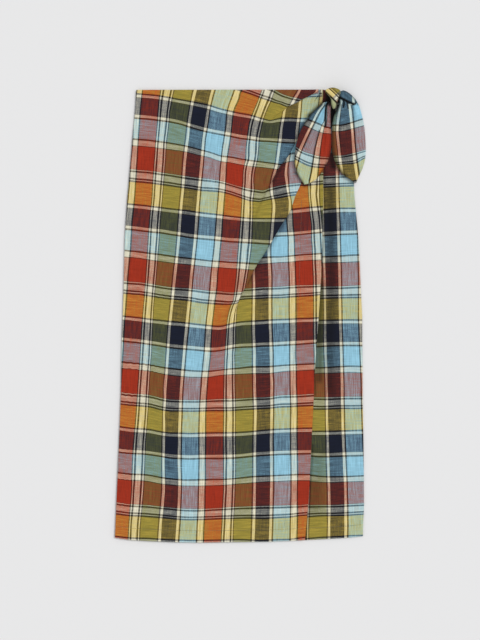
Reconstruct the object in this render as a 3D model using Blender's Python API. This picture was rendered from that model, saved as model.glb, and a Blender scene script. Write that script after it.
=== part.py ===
"""Wrap skirt, laid flat and tied at one side of the waist.

The waist is toward +Y, the front faces +Z and the back panel rests on z = 0. Each piece of cloth is a closed wall.
Shapes are read off a photograph taken from straight above: its pixels are turned into metres by PIXEL.
"""
import math

import bpy
from mathutils import Vector
from mathutils.bvhtree import BVHTree

# Driving sizes, in metres
PIXEL = 0.0018
CENTRE_COLUMN = 240.52
CENTRE_ROW = 315.02
CLOTH = 0.0012
GAP = 0.0003
SEAM_ALLOWANCE = 0.012
ALLOWANCE_SLOPE = 0.4
UNDER_INSET = 0.022
LAID_HEIGHT = 2.5 * CLOTH + 2 * GAP
WAIST_ROW = 89.8
SIDE_INSET = 0.8
BACK_DROP = 0.8
UNDER_DROP = 1.2
RELIEF_REACH = 0.030
FLAT_RADII = 3
SOFT_OPENNESS = 0.7
SOFT_ROOM = 0.6
OVERLAP_ROOM = 0.38
KNOT_LIFT = 0.0080
KNOT_REACH = 0.030
WALL_ROWS = 26
WALL_COLUMNS = 8
WRAP_ROWS = 38
WRAP_ROW_POWER = 1.45
EDGE_START = 0.7
ARC_STEPS = 4
TAIL_CLOTH = 0.0024
TAIL_ROWS = 26
TAIL_COLUMNS = 12
TAIL_SAMPLE = 0.0045
BAND_WIDTH = 0.0222
BAND_HALF_LENGTH = 0.0192
BAND_HALF_HEIGHT = 0.0128
BAND_WALL = 0.0022
BAND_COLUMN = 334.4
BAND_ROW = 98.4
BAND_SLANT = 1.2
BAND_STEPS = 28
BAND_CROSS_STEPS = 6
BAND_CROWN = 0.0016

# Outline in the photograph: row, column
LEFT_SIDE = [
    (90, 136.5), (110, 135.4), (140, 132.5), (165, 130.4), (200, 127.4), (235, 125.0), (300, 123.4),
    (340, 121.9), (390, 121.1), (445, 119.0), (490, 117.0), (537.5, 115.0),
]
RIGHT_SIDE = [
    (90, 338.0), (110, 346.0), (140, 350.5), (170, 353.0), (200, 354.5), (230, 357.5), (250, 359.0),
    (290, 360.7), (320, 362.1), (400, 362.6), (450, 363.4), (510, 364.0), (536, 362.8),
]
# Hem in the photograph: column, row
HEM = [
    (115, 537.6), (130, 539.8), (150, 541.0), (180, 542.2), (200, 542.5), (230, 542.0), (270, 541.5),
    (305, 540.0), (330, 538.8), (350, 537.5), (364, 536.0),
]

# Lines of the wrap that all run out of the knot, in the photograph: column, row
WAIST_LINE = [(330, 94.2), (327, 92.8), (324, 90.8), (319, 89.8), (300, 89.7), (240, 89.8), (136.5, 90.0)]
FLAP_LINE = [
    (330, 95.3), (326, 94.0), (314, 92.6), (300, 94.2), (287, 97.8), (262, 107), (200, 143), (127.4, 200),
]
FLAP_FOLD = [
    (330, 96.4), (325.4, 95.5), (319, 94.8), (308, 97.0), (296, 101.8), (287, 106.4), (268, 120), (230, 153),
    (180, 217), (123.3, 310),
]
LEFT_LINE = [
    (330, 97.5), (325.2, 97.6), (310, 105), (290, 121), (250, 180), (200, 290), (150, 425), (115, 537.6),
]
VALLEY_FOLD = [
    (330, 98.7), (325.4, 99.8), (318, 107.5), (312, 117), (303, 132), (296.3, 143.5), (288.5, 157),
    (278.8, 169.6), (271, 186), (255, 225), (212, 345), (168, 450), (131, 539.9),
]
LONG_FOLD = [
    (330, 99.9), (325.8, 101.8), (321.5, 113), (318, 130), (309, 160), (300, 184), (295, 195), (289, 212),
    (279.8, 226.5), (267.3, 248), (256.3, 265), (248, 281), (240, 296), (227, 327), (205, 420), (180, 542.2),
]
FREE_EDGE = [
    (330, 102.4), (327.4, 104.0), (326.2, 108), (324.8, 130), (323.5, 155), (323, 177), (323, 200), (322, 240),
    (320.7, 280), (318.3, 320), (315.3, 360), (313.5, 400), (311.5, 440), (309.6, 480), (307.6, 510),
    (304.8, 540.0),
]

# How a fold opens out along its length: openness, bend radius, bend angle, leg between the bends
FOLD_SHAPES = [
    (0.00, 0.0008, 180, 0.0000),
    (0.15, 0.0008, 165, 0.0030),
    (0.30, 0.0009, 130, 0.0012),
    (0.45, 0.0012, 90, 0.0008),
    (0.60, 0.0030, 50, 0.0010),
    (0.75, 0.0080, 25, 0.0015),
    (0.88, 0.0200, 10, 0.0030),
    (1.00, 0.0600, 1.5, 0.0040),
]
# Each fold: share of its line from the knot, openness, overlap
FLAP_TUCK = [
    (0.00, 0.80, 0.000), (0.04, 0.75, 0.000), (0.055, 0.45, 0.000), (0.07, 0.15, 0.000), (0.09, 0.00, 0.003),
    (0.12, 0.00, 0.004), (0.14, 0.15, 0.000), (0.16, 0.45, 0.000), (0.20, 0.60, 0.000), (0.28, 0.80, 0.000),
    (0.45, 1.00, 0.000), (1.00, 1.00, 0.000),
]
VALLEY_TUCK = [
    (0.00, 0.80, 0.000), (0.03, 0.75, 0.000), (0.045, 0.45, 0.000), (0.06, 0.30, 0.000), (0.08, 0.00, 0.005),
    (0.13, 0.00, 0.010), (0.16, 0.00, 0.009), (0.19, 0.15, 0.000), (0.22, 0.60, 0.000), (0.30, 0.75, 0.000),
    (0.45, 1.00, 0.000), (1.00, 1.00, 0.000),
]
LONG_TUCK = [
    (0.00, 0.80, 0.000), (0.03, 0.75, 0.000), (0.045, 0.45, 0.000), (0.06, 0.30, 0.000), (0.08, 0.00, 0.006),
    (0.18, 0.00, 0.018), (0.26, 0.00, 0.022), (0.33, 0.00, 0.024), (0.40, 0.00, 0.018), (0.44, 0.15, 0.000),
    (0.48, 0.60, 0.000), (0.56, 0.75, 0.000), (0.75, 1.00, 0.000), (1.00, 1.00, 0.000),
]

# Tie ends, from the knot to the tip: left column, left row, right column, right row, lift
LEFT_TAIL = [
    (328.6, 98.0, 330.2, 100.4, 0.0),
    (325.0, 101.8, 327.2, 105.0, 0.0010),
    (320.0, 106.6, 327.2, 112.0, 0.0030),
    (311.5, 112.6, 330.0, 119.0, 0.0035),
    (303.0, 125.0, 330.7, 130.0, 0.0015),
    (297.0, 140.0, 331.3, 141.0, 0.0),
    (295.0, 154.0, 330.4, 152.0, 0.0),
    (294.8, 164.0, 327.5, 161.0, 0.0),
    (297.0, 172.5, 323.0, 169.5, 0.0),
    (300.5, 179.5, 314.0, 177.5, 0.0),
    (303.4, 184.2, 306.0, 183.8, 0.0),
]
RIGHT_TAIL = [
    (337.0, 100.5, 337.0, 95.0, 0.0110),
    (341.4, 103.0, 342.4, 92.0, 0.0110),
    (341.2, 109.4, 351.0, 98.0, 0.0080),
    (336.6, 113.8, 357.4, 106.5, 0.0040),
    (332.6, 122.5, 361.2, 116.0, 0.0015),
    (332.4, 135.0, 363.8, 128.0, 0.0),
    (332.8, 150.0, 365.6, 145.0, 0.0),
    (336.0, 160.5, 366.0, 159.0, 0.0),
    (341.5, 170.5, 364.2, 169.0, 0.0),
    (348.5, 178.0, 361.2, 176.0, 0.0),
    (355.2, 182.3, 357.8, 181.8, 0.0),
]
# Pleats of a tie end: place across it, height at the knot, width, share of the length where it has faded
LEFT_PLEATS = [(0.18, 0.0030, 0.16, 0.50), (0.52, 0.0042, 0.15, 0.62), (0.86, 0.0036, 0.13, 0.75)]
RIGHT_PLEATS = [(0.20, 0.0034, 0.16, 0.60), (0.55, 0.0030, 0.16, 0.45), (0.85, 0.0040, 0.14, 0.55)]

# Colour, roughness
COTTON = {
    "back_panel": ((0.24, 0.16, 0.10), 0.85),
    "under_panel": ((0.20, 0.22, 0.22), 0.85),
    "over_panel": ((0.26, 0.18, 0.12), 0.85),
    "knot_wrap": ((0.20, 0.18, 0.10), 0.85),
    "tail_left": ((0.25, 0.22, 0.20), 0.85),
    "tail_right": ((0.22, 0.24, 0.24), 0.85),
}


def clear_scene():
    for old in list(bpy.data.objects):
        bpy.data.objects.remove(old, do_unlink=True)


def place(column, row):
    """The plan position of a point of the photograph."""
    return Vector(((column - CENTRE_COLUMN) * PIXEL, (CENTRE_ROW - row) * PIXEL, 0.0))


def smoothstep(value):
    value = min(1.0, max(0.0, value))
    return value * value * (3.0 - 2.0 * value)


def read_table(table, key):
    """The remaining columns of a table at a key, with straight steps between its rows."""
    if key <= table[0][0]:
        return table[0][1:]
    for low, high in zip(table, table[1:]):
        if key <= high[0]:
            share = (key - low[0]) / (high[0] - low[0])
            return tuple(a + (b - a) * share for a, b in zip(low[1:], high[1:]))
    return table[-1][1:]


def spline(points, share):
    """A point on the smooth curve through a list of tuples, share 0 to 1 counted in list steps."""
    last = len(points) - 1
    step = min(int(share * last), last - 1)
    t = share * last - step
    before, start, end, after = (points[min(max(step + k, 0), last)] for k in (-1, 0, 1, 2))
    return tuple(
        0.5 * (2 * b + (c - a) * t + (2 * a - 5 * b + 4 * c - d) * t * t + (3 * b - a - 3 * c + d) * t ** 3)
        for a, b, c, d in zip(before, start, end, after)
    )


class Line:
    """A smooth plan curve through points of the photograph, read by its share of length."""

    SAMPLES = 400

    def __init__(self, points):
        self.path = [place(*spline(points, k / self.SAMPLES)) for k in range(self.SAMPLES + 1)]
        self.run = [0.0]
        for a, b in zip(self.path, self.path[1:]):
            self.run.append(self.run[-1] + (b - a).length)

    def at(self, share):
        """Position, and the direction square to the line that points toward the free edge."""
        goal = min(1.0, max(0.0, share)) * self.run[-1]
        k = 0
        while k < self.SAMPLES - 1 and self.run[k + 1] < goal:
            k += 1
        span = self.run[k + 1] - self.run[k]
        point = self.path[k].lerp(self.path[k + 1], (goal - self.run[k]) / span)
        first = self.path[max(k - 6, 0)]
        second = self.path[min(k + 7, self.SAMPLES)]
        along = (second - first).normalized()
        return point, Vector((-along.y, along.x, 0.0))


def build_wall(name, top, bottom):
    """One closed wall between two grids of points that have the same rows and columns."""
    rows, columns = len(top), len(top[0])
    points = [p for grid in (top, bottom) for row in grid for p in row]

    def upper(i, j):
        return i * columns + j

    def lower(i, j):
        return rows * columns + i * columns + j

    faces = []
    for i in range(rows - 1):
        for j in range(columns - 1):
            faces.append((upper(i, j), upper(i, j + 1), upper(i + 1, j + 1), upper(i + 1, j)))
            faces.append((lower(i, j), lower(i + 1, j), lower(i + 1, j + 1), lower(i, j + 1)))
    for i in range(rows - 1):
        faces.append((upper(i, 0), upper(i + 1, 0), lower(i + 1, 0), lower(i, 0)))
        j = columns - 1
        faces.append((upper(i, j), lower(i, j), lower(i + 1, j), upper(i + 1, j)))
    for j in range(columns - 1):
        faces.append((upper(0, j), lower(0, j), lower(0, j + 1), upper(0, j + 1)))
        i = rows - 1
        faces.append((upper(i, j), upper(i, j + 1), lower(i, j + 1), lower(i, j)))
    return add_object(name, points, faces)


def add_object(name, points, faces):
    mesh = bpy.data.meshes.new(name)
    mesh.from_pydata([tuple(p) for p in points], [], faces)
    mesh.update()
    if signed_volume(mesh) < 0.0:
        mesh.flip_normals()
    mesh.shade_smooth()
    piece = bpy.data.objects.new(name, mesh)
    bpy.context.scene.collection.objects.link(piece)
    colour, roughness = COTTON[name]
    material = bpy.data.materials.new(name)
    material.use_nodes = True
    shader = material.node_tree.nodes["Principled BSDF"]
    shader.inputs["Base Color"].default_value = (*colour, 1.0)
    shader.inputs["Roughness"].default_value = roughness
    shader.inputs["Metallic"].default_value = 0.0
    mesh.materials.append(material)
    return piece


def signed_volume(mesh):
    total = 0.0
    for face in mesh.polygons:
        corners = [mesh.vertices[k].co for k in face.vertices]
        for a, b in zip(corners[1:], corners[2:]):
            total += corners[0].dot(a.cross(b)) / 6.0
    return total


def hem_row(column):
    return read_table(HEM, column)[0]


def side_column(side, row):
    return read_table(side, row)[0]


def flat_wall(name, floor, top_row, left, hem_lift, allowance):
    """A flat panel from the waist to the hem. left gives its left column on a row.

    allowance is the width of a seam allowance that is folded in along its left side, or 0.
    """
    middle_column = (HEM[0][0] + HEM[-1][0]) / 2
    shares = [k / WALL_COLUMNS for k in range(WALL_COLUMNS + 1)]
    top, bottom = [], []
    for i in range(WALL_ROWS + 1):
        share = i / WALL_ROWS
        middle = top_row + (hem_row(middle_column) - top_row) * share
        start, end = left(middle), side_column(RIGHT_SIDE, middle)
        spots = [(start + (end - start) * k, CLOTH) for k in shares]
        if allowance:
            fold_end = start + allowance / PIXEL
            folded = 2 * CLOTH + GAP
            spots = [(start, folded), (fold_end, folded), (fold_end + ALLOWANCE_SLOPE, CLOTH)] + spots[1:]
        upper_row, lower_row = [], []
        for column, height in spots:
            point = place(column, top_row + (hem_row(column) - hem_lift - top_row) * share)
            lower_row.append(point + Vector((0, 0, floor)))
            upper_row.append(point + Vector((0, 0, floor + height)))
        top.append(upper_row)
        bottom.append(lower_row)
    return build_wall(name, top, bottom)


def back_panel():
    def left(row):
        return side_column(LEFT_SIDE, row) + SIDE_INSET

    return flat_wall("back_panel", 0.0, WAIST_ROW + BACK_DROP, left, BACK_DROP, SEAM_ALLOWANCE)


def under_panel():
    def left(row):
        return side_column(LEFT_SIDE, row) + SIDE_INSET + UNDER_INSET / PIXEL

    return flat_wall("under_panel", CLOTH + GAP, WAIST_ROW + UNDER_DROP, left, 0.0, 0.0)


def bend(openness, overlap, room):
    """Section of a fold from its upper layer to its lower one, and the width that must stay flat.

    Each point of the section is its offset from the fold's edge, its height and its turn.
    A soft fold that has little room is made smaller.
    """
    radius, angle, leg = read_table(FOLD_SHAPES, openness)
    angle = math.radians(angle)
    if openness > SOFT_OPENNESS:
        full = 2 * radius * math.sin(angle) + leg * math.cos(angle)
        fit = min(1.0, SOFT_ROOM * room / full)
        radius, leg = radius * fit, leg * fit
    leg += overlap
    drop = 2 * radius * (1 - math.cos(angle)) + leg * math.sin(angle)
    reach = 2 * radius * math.sin(angle) + leg * math.cos(angle)
    turns = [angle * k / ARC_STEPS for k in range(ARC_STEPS + 1)]
    upper = [(radius * math.sin(a), drop - radius + radius * math.cos(a), a) for a in turns]
    lower = [(reach - radius * math.sin(a), radius - radius * math.cos(a), a) for a in reversed(turns)]
    return upper + lower, leg + FLAT_RADII * radius


def knot_rise(distance):
    """How far the wrap is lifted into the knot at a distance from its gathered end."""
    return KNOT_LIFT * (1 - smoothstep(distance / KNOT_REACH))


# The wrap from the waist to its free edge: line, tuck or None, whether it falls there, steps to the next line
WRAP_LINES = [
    (WAIST_LINE, None, False, 2),
    (FLAP_LINE, None, False, 2),
    (FLAP_FOLD, FLAP_TUCK, True, 3),
    (LEFT_LINE, None, False, 3),
    (VALLEY_FOLD, VALLEY_TUCK, False, 4),
    (LONG_FOLD, LONG_TUCK, True, 7),
    (FREE_EDGE, None, False, 0),
]


def wrap_row(lines, share):
    """One row of the wrap: plan point, height over the laid cloth, wall direction."""
    marks = [line.at(share) for line in lines]
    edge_share = smoothstep((share - EDGE_START) / (1 - EDGE_START))
    folds = [k for k, entry in enumerate(WRAP_LINES) if entry[1]]
    points = []
    stretch = []
    start_height = start_keep = 0.0
    for k, (_, tuck, falls, steps) in enumerate(WRAP_LINES):
        point, across = marks[k]
        if tuck:
            chord = (marks[k + 1][0] - marks[k - 1][0]).normalized()
            across = across.lerp(chord, edge_share).normalized()
            ends = [0] + folds + [len(WRAP_LINES) - 1]
            upper_end = ends[ends.index(k) + (-1 if falls else 1)]
            openness, overlap = read_table(tuck, share)
            overlap = min(overlap, OVERLAP_ROOM * (marks[upper_end][0] - point).length)
            room = min((marks[n][0] - point).length for n in (k - 1, k + 1))
            section, keep = bend(openness, overlap, room)
            body = []
            for offset, height, turn in section:
                side = 1 if falls else -1
                normal = across * (side * math.sin(turn)) + Vector((0, 0, math.cos(turn)))
                body.append((point + across * (side * offset), height, normal))
            if not falls:
                body.reverse()
            stretch.append((body[0][0], WRAP_LINES[k - 1][3]))
            points.extend(laid(stretch, start_height, start_keep, body[0][1], keep, True))
            points.extend(body[1:-1])
            start_height, start_keep = body[-1][1], keep
            stretch = [(body[-1][0], 0)]
        else:
            stretch.append((point, WRAP_LINES[k - 1][3] if k else 0))
    points.extend(laid(stretch, start_height, start_keep, 0.0, 0.0, False))
    return points


def laid(stretch, start_height, start_keep, end_height, end_keep, ends_in_fold):
    """Points along the cloth between two folds. The height of each end dies away past its fold."""
    spots = [stretch[0][0]]
    for (before, _), (after, steps) in zip(stretch, stretch[1:]):
        spots.extend(before.lerp(after, n / (steps + 1)) for n in range(1, steps + 2))
    run = [0.0]
    for before, after in zip(spots, spots[1:]):
        run.append(run[-1] + (after - before).length)
    span = run[-1]
    made = []
    for spot, distance in zip(spots, run):
        height = 0.0
        for level, keep, gone in ((start_height, start_keep, distance), (end_height, end_keep, span - distance)):
            reach = RELIEF_REACH
            if ends_in_fold and start_keep:
                reach = min(reach, max(span - keep, CLOTH))
            height = max(height, level * (1 - smoothstep((gone - keep) / reach)))
        made.append((spot, height, Vector((0, 0, 1))))
    return made


def over_panel():
    lines = [Line(points) for points, _, _, _ in WRAP_LINES]
    longest = max(line.run[-1] for line in lines)
    top, bottom = [], []
    for i in range(WRAP_ROWS + 1):
        share = (i / WRAP_ROWS) ** WRAP_ROW_POWER
        upper_row, lower_row = [], []
        gathered = longest * share
        for point, height, normal in wrap_row(lines, share):
            middle = point + Vector((0, 0, LAID_HEIGHT + height + knot_rise(gathered)))
            upper_row.append(middle + normal * (CLOTH / 2))
            lower_row.append(middle - normal * (CLOTH / 2))
        top.append(upper_row)
        bottom.append(lower_row)
    return build_wall("over_panel", top, bottom)


class Ground:
    """Height of what lies under a point, read from finished pieces."""

    SKY = 0.2

    def __init__(self, pieces):
        self.trees = []
        for piece in pieces:
            mesh = piece.data
            faces = [tuple(face.vertices) for face in mesh.polygons]
            self.trees.append(BVHTree.FromPolygons([v.co for v in mesh.vertices], faces))

    def height(self, x, y):
        best = 0.0
        for tree in self.trees:
            hit = tree.ray_cast(Vector((x, y, self.SKY)), Vector((0, 0, -1)))[0]
            if hit is not None:
                best = max(best, hit.z)
        return best

    def highest(self, x, y, reach):
        steps = (-1.0, -0.5, 0.0, 0.5, 1.0)
        return max(self.height(x + dx * reach, y + dy * reach) for dx in steps for dy in steps)


def tie_end(name, table, pleats, below):
    """A leaf of doubled cloth that lies on the panels and rises into the knot."""
    top, bottom = [], []
    for i in range(TAIL_ROWS + 1):
        share = i / TAIL_ROWS
        left_column, left_row, right_column, right_row, lift = spline(table, share)
        left, right = place(left_column, left_row), place(right_column, right_row)
        upper_row, lower_row = [], []
        for j in range(TAIL_COLUMNS + 1):
            across = j / TAIL_COLUMNS
            point = left.lerp(right, across)
            base = below.highest(point.x, point.y, TAIL_SAMPLE) + GAP + max(lift, 0.0)
            relief = 0.0
            for centre, height, width, fade in pleats:
                ridge = max(0.0, 1 - abs(across - centre) / width)
                relief += height * smoothstep(ridge) * (1 - smoothstep(share / fade))
            lower_row.append(Vector((point.x, point.y, base)))
            upper_row.append(Vector((point.x, point.y, base + TAIL_CLOTH + relief)))
        top.append(upper_row)
        bottom.append(lower_row)
    return build_wall(name, top, bottom)


def knot_wrap(floor):
    """The band of cloth that goes once round the knot."""
    centre = place(BAND_COLUMN, BAND_ROW)
    middle = floor + GAP + BAND_HALF_HEIGHT
    outer, inner = [], []
    for i in range(BAND_STEPS):
        turn = 2 * math.pi * i / BAND_STEPS
        outer_row, inner_row = [], []
        for j in range(BAND_CROSS_STEPS + 1):
            across = j / BAND_CROSS_STEPS - 0.5
            crown = BAND_CROWN * (1 - (2 * across) ** 2)
            x = centre.x + across * BAND_WIDTH - BAND_SLANT * PIXEL * math.sin(turn) * math.cos(turn)
            for depth, line in ((crown - BAND_CROWN, outer_row), (crown - BAND_CROWN - BAND_WALL, inner_row)):
                y = centre.y + (BAND_HALF_LENGTH + depth) * math.cos(turn)
                z = middle + (BAND_HALF_HEIGHT + depth) * math.sin(turn)
                line.append(Vector((x, y, z)))
        outer.append(outer_row)
        inner.append(inner_row)
    columns = BAND_CROSS_STEPS + 1
    count = BAND_STEPS * columns
    points = [p for grid in (outer, inner) for row in grid for p in row]
    faces = []
    for i in range(BAND_STEPS):
        a, b = i * columns, (i + 1) % BAND_STEPS * columns
        for j in range(BAND_CROSS_STEPS):
            faces.append((a + j, a + j + 1, b + j + 1, b + j))
            faces.append((count + a + j, count + b + j, count + b + j + 1, count + a + j + 1))
        faces.append((a, b, count + b, count + a))
        end = BAND_CROSS_STEPS
        faces.append((a + end, count + a + end, count + b + end, b + end))
    return add_object("knot_wrap", points, faces)


def main():
    clear_scene()
    back = back_panel()
    under = under_panel()
    over = over_panel()
    panels = Ground([back, under, over])
    tie_end("tail_left", LEFT_TAIL, LEFT_PLEATS, panels)
    tie_end("tail_right", RIGHT_TAIL, RIGHT_PLEATS, Ground([back, under]))
    knot_wrap(2 * CLOTH + GAP)


main()
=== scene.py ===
"""Looks of the wrap skirt: checked cotton laid flat, wrapped to one side and knotted at the waist.

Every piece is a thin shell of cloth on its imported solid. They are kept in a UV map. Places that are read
off the photograph are in its pixels, and PIXEL turns them into metres.
"""
import itertools
import math

import bpy
import numpy as np
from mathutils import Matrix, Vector
from mathutils.bvhtree import BVHTree

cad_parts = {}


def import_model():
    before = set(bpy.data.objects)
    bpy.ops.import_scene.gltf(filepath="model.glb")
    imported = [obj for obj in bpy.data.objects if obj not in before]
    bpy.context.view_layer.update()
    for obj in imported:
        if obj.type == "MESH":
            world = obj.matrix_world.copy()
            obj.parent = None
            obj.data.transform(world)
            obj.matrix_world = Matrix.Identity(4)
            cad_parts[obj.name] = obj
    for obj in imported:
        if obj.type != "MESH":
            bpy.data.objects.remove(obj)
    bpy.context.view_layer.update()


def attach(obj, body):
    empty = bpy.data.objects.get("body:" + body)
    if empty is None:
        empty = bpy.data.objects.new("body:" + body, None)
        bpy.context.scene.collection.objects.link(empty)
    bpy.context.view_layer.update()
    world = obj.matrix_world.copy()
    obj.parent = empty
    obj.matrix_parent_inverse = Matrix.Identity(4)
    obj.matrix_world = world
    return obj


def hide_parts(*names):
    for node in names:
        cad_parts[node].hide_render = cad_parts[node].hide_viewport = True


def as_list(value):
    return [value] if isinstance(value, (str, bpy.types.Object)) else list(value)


# Sizes, in metres
PIXEL = 0.0018
CENTRE_COLUMN = 240.52
CENTRE_ROW = 315.02
CLOTH = 0.0012
GAP = 0.0003
SHELL = 0.0009
RIM_INSET = 0.0007
RIM_BULGE = 0.3
UNDER_INSET = 0.022
LAID_HEIGHT = 2.5 * CLOTH + 2 * GAP
UNDER_HEIGHT = 1.5 * CLOTH + GAP
PANEL_LENGTH = 0.8
PANEL_WIDTH = 0.4
TIE_LENGTH = 0.16
WAIST_ROW = 89.8
SIDE_INSET = 0.8
BACK_DROP = 0.8
UNDER_DROP = 1.2
HEM_TURNING = 0.021
EDGE_TURNING = 0.0385
TURNING_RISE = 0.0003
TURNING_FADE = 0.002
KNOT_LIFT = 0.0080
KNOT_REACH = 0.030

# Sewing. Rows are of the photograph, and so are the first and last columns of the hems' stitches.
STITCH_PITCH = 0.0030
STITCH_LENGTH = 0.0023
STITCH_SIDES = 6
STITCH_RINGS = (-0.5, -0.3, 0.0, 0.3, 0.5)
THREAD_RADIUS = 0.00026
THREAD_END = 0.2
EDGE_STITCH_TOP = 190
EDGE_STITCH_END = 535
EDGE_STITCH_SHIFT = 0.4
OVER_HEM_STITCHES = (116.5, 304.5)
UNDER_HEM_STITCHES = (306.5, 362.0)
HEM_LINE_STEPS = 40

# Folds of the wrap. Lengths are in metres and the rest are shares.
RELIEF_REACH = 0.030
FLAT_RADII = 3
CLOSED_OPENNESS = 0.5
OPENING = 0.3
SOFT_OPENNESS = 0.7
SOFT_ROOM = 0.6
OVERLAP_ROOM = 0.38
WRAP_ROWS = 230
WRAP_ROW_POWER = 1.3
EDGE_START = 0.7
ARC_STEPS = 8
BLEND_REACH = 0.045
# Rows above the hem, in pixels, from which an end of a row belongs to the hem and not to the side
HEM_NEAR = 6

# Grids of the lower panels, rows and columns
UNDER_GRID = (260, 150)
BACK_GRID = (100, 60)
# Soft unevenness of the right front: height in metres, waves a pixel across and down, and where they start
WAVE_HEIGHT = 0.0001
WAVE_ACROSS = 0.11
WAVE_DOWN = 0.023
WAVE_START = 0.6

# Outline in the photograph: row, column
LEFT_SIDE = [
    (90, 136.5), (110, 135.4), (140, 132.5), (165, 130.4), (200, 127.4), (235, 125.0), (300, 123.4),
    (340, 121.9), (390, 121.1), (445, 119.0), (490, 117.0), (537.5, 115.0),
]
RIGHT_SIDE = [
    (90, 338.0), (110, 346.0), (140, 350.5), (170, 353.0), (200, 354.5), (230, 357.5), (250, 359.0),
    (290, 360.7), (320, 362.1), (400, 362.6), (450, 363.4), (510, 364.0), (536, 362.8),
]
# Hem in the photograph: column, row
HEM = [
    (115, 537.6), (130, 539.8), (150, 541.0), (180, 542.2), (200, 542.5), (230, 542.0), (270, 541.5),
    (305, 540.0), (330, 538.8), (350, 537.5), (364, 536.0),
]

# Lines of the wrap that all run out of the knot, in the photograph: column, row
WAIST_LINE = [(331, 91.2), (327, 90.4), (323, 89.8), (319, 89.6), (300, 89.7), (240, 89.8), (136.5, 90.0)]
FLAP_LINE = [
    (331, 91.8), (326, 91.0), (321, 90.3), (314, 90.9), (300, 93.9), (287, 97.8), (262, 107), (200, 143),
    (127.4, 200),
]
FLAP_FOLD = [
    (331, 92.4), (325.4, 91.6), (321.5, 91.0), (315, 92.6), (308, 95.9), (302.5, 98.6), (296, 102.4),
    (287, 106.8), (268, 120), (230, 153), (180, 217), (123.3, 310),
]
LEFT_LINE = [
    (331, 97.5), (325.8, 98.0), (312, 106), (290, 123), (250, 180), (200, 290), (150, 425), (115, 537.6),
]
VALLEY_FOLD = [
    (331, 101.5), (326.8, 103.5), (320.5, 110.0), (313.5, 118.5), (303.6, 132.5), (296.3, 143.5),
    (288.5, 157), (278.8, 169.6), (271, 186), (255, 225), (212, 345), (168, 450), (131, 539.9),
]
LONG_FOLD = [
    (331, 103.0), (327.6, 105.5), (323.2, 115), (319, 131), (309, 160), (300, 184), (295, 195), (289, 212),
    (279.8, 226.5), (267.3, 248), (256.3, 265), (248, 281), (240, 296), (227, 327), (205, 420), (180, 542.2),
]
FREE_EDGE = [
    (331, 105.0), (328.8, 107.2), (327.0, 112), (325.0, 131), (323.5, 155), (323, 177), (323, 200),
    (322, 240), (320.7, 280), (318.3, 320), (315.3, 360), (313.5, 400), (311.5, 440), (309.6, 480),
    (307.6, 510), (304.8, 540.0),
]

# Where the wrap goes into the knot, and how far its left cloth alone shows round it, in pixels
KNOT_SPOT = (331.0, 97.0)
KNOT_NEAR = 20.0
KNOT_FAR = 34.0
# Share of the lines up to which a fold doesn't carry the check across
KNOT_SHARE = 0.06
# Beside the knot, the column where the flap's check ends
FLAP_END_COLUMN = 318.5
# Beside the knot, from this column on, the left cloth's weft is held at the navy stripe, which darkens that
# strip.
NAVY_WEFT_COLUMN = 322.7
NAVY_WEFT = -0.68

# How a fold opens out along its length: openness, bend radius, bend angle, leg between the bends
FOLD_SHAPES = [
    (0.00, 0.0008, 180, 0.0000),
    (0.15, 0.0008, 165, 0.0030),
    (0.30, 0.0009, 130, 0.0012),
    (0.45, 0.0012, 90, 0.0008),
    (0.60, 0.0030, 50, 0.0010),
    (0.75, 0.0080, 25, 0.0015),
    (0.88, 0.0200, 10, 0.0030),
    (1.00, 0.0600, 1.5, 0.0040),
]
# Each fold: share of its line from the knot, openness, overlap
FLAP_TUCK = [
    (0.00, 0.80, 0.000), (0.04, 0.75, 0.000), (0.055, 0.45, 0.000), (0.07, 0.15, 0.000), (0.09, 0.00, 0.003),
    (0.12, 0.00, 0.004), (0.14, 0.15, 0.000), (0.16, 0.45, 0.000), (0.20, 0.60, 0.000), (0.28, 0.80, 0.000),
    (0.45, 1.00, 0.000), (1.00, 1.00, 0.000),
]
VALLEY_TUCK = [
    (0.00, 0.80, 0.000), (0.03, 0.75, 0.000), (0.045, 0.45, 0.000), (0.06, 0.30, 0.000), (0.08, 0.00, 0.005),
    (0.13, 0.00, 0.010), (0.16, 0.00, 0.009), (0.19, 0.15, 0.000), (0.22, 0.60, 0.000), (0.30, 0.75, 0.000),
    (0.45, 1.00, 0.000), (1.00, 1.00, 0.000),
]
LONG_TUCK = [
    (0.00, 0.80, 0.000), (0.03, 0.75, 0.000), (0.045, 0.45, 0.000), (0.06, 0.30, 0.000), (0.08, 0.00, 0.006),
    (0.18, 0.00, 0.018), (0.26, 0.00, 0.022), (0.33, 0.00, 0.024), (0.40, 0.00, 0.018), (0.44, 0.15, 0.000),
    (0.48, 0.60, 0.000), (0.56, 0.75, 0.000), (0.75, 1.00, 0.000), (1.00, 1.00, 0.000),
]
# The wrap from the waist to its free edge: line, tuck or None, whether it falls there, steps to the next line
WRAP_LINES = [
    (WAIST_LINE, None, False, 7),
    (FLAP_LINE, None, False, 7),
    (FLAP_FOLD, FLAP_TUCK, True, 11),
    (LEFT_LINE, None, False, 11),
    (VALLEY_FOLD, VALLEY_TUCK, False, 16),
    (LONG_FOLD, LONG_TUCK, True, 30),
    (FREE_EDGE, None, False, 0),
]
# Parts of the wrap between its folds, from the waist to the free edge
PARTS = "FLMR"

# Soft ridges and troughs of the wrap: height, half width in pixels, path in the photograph
DEEPEST_TROUGH = -0.0002
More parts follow.
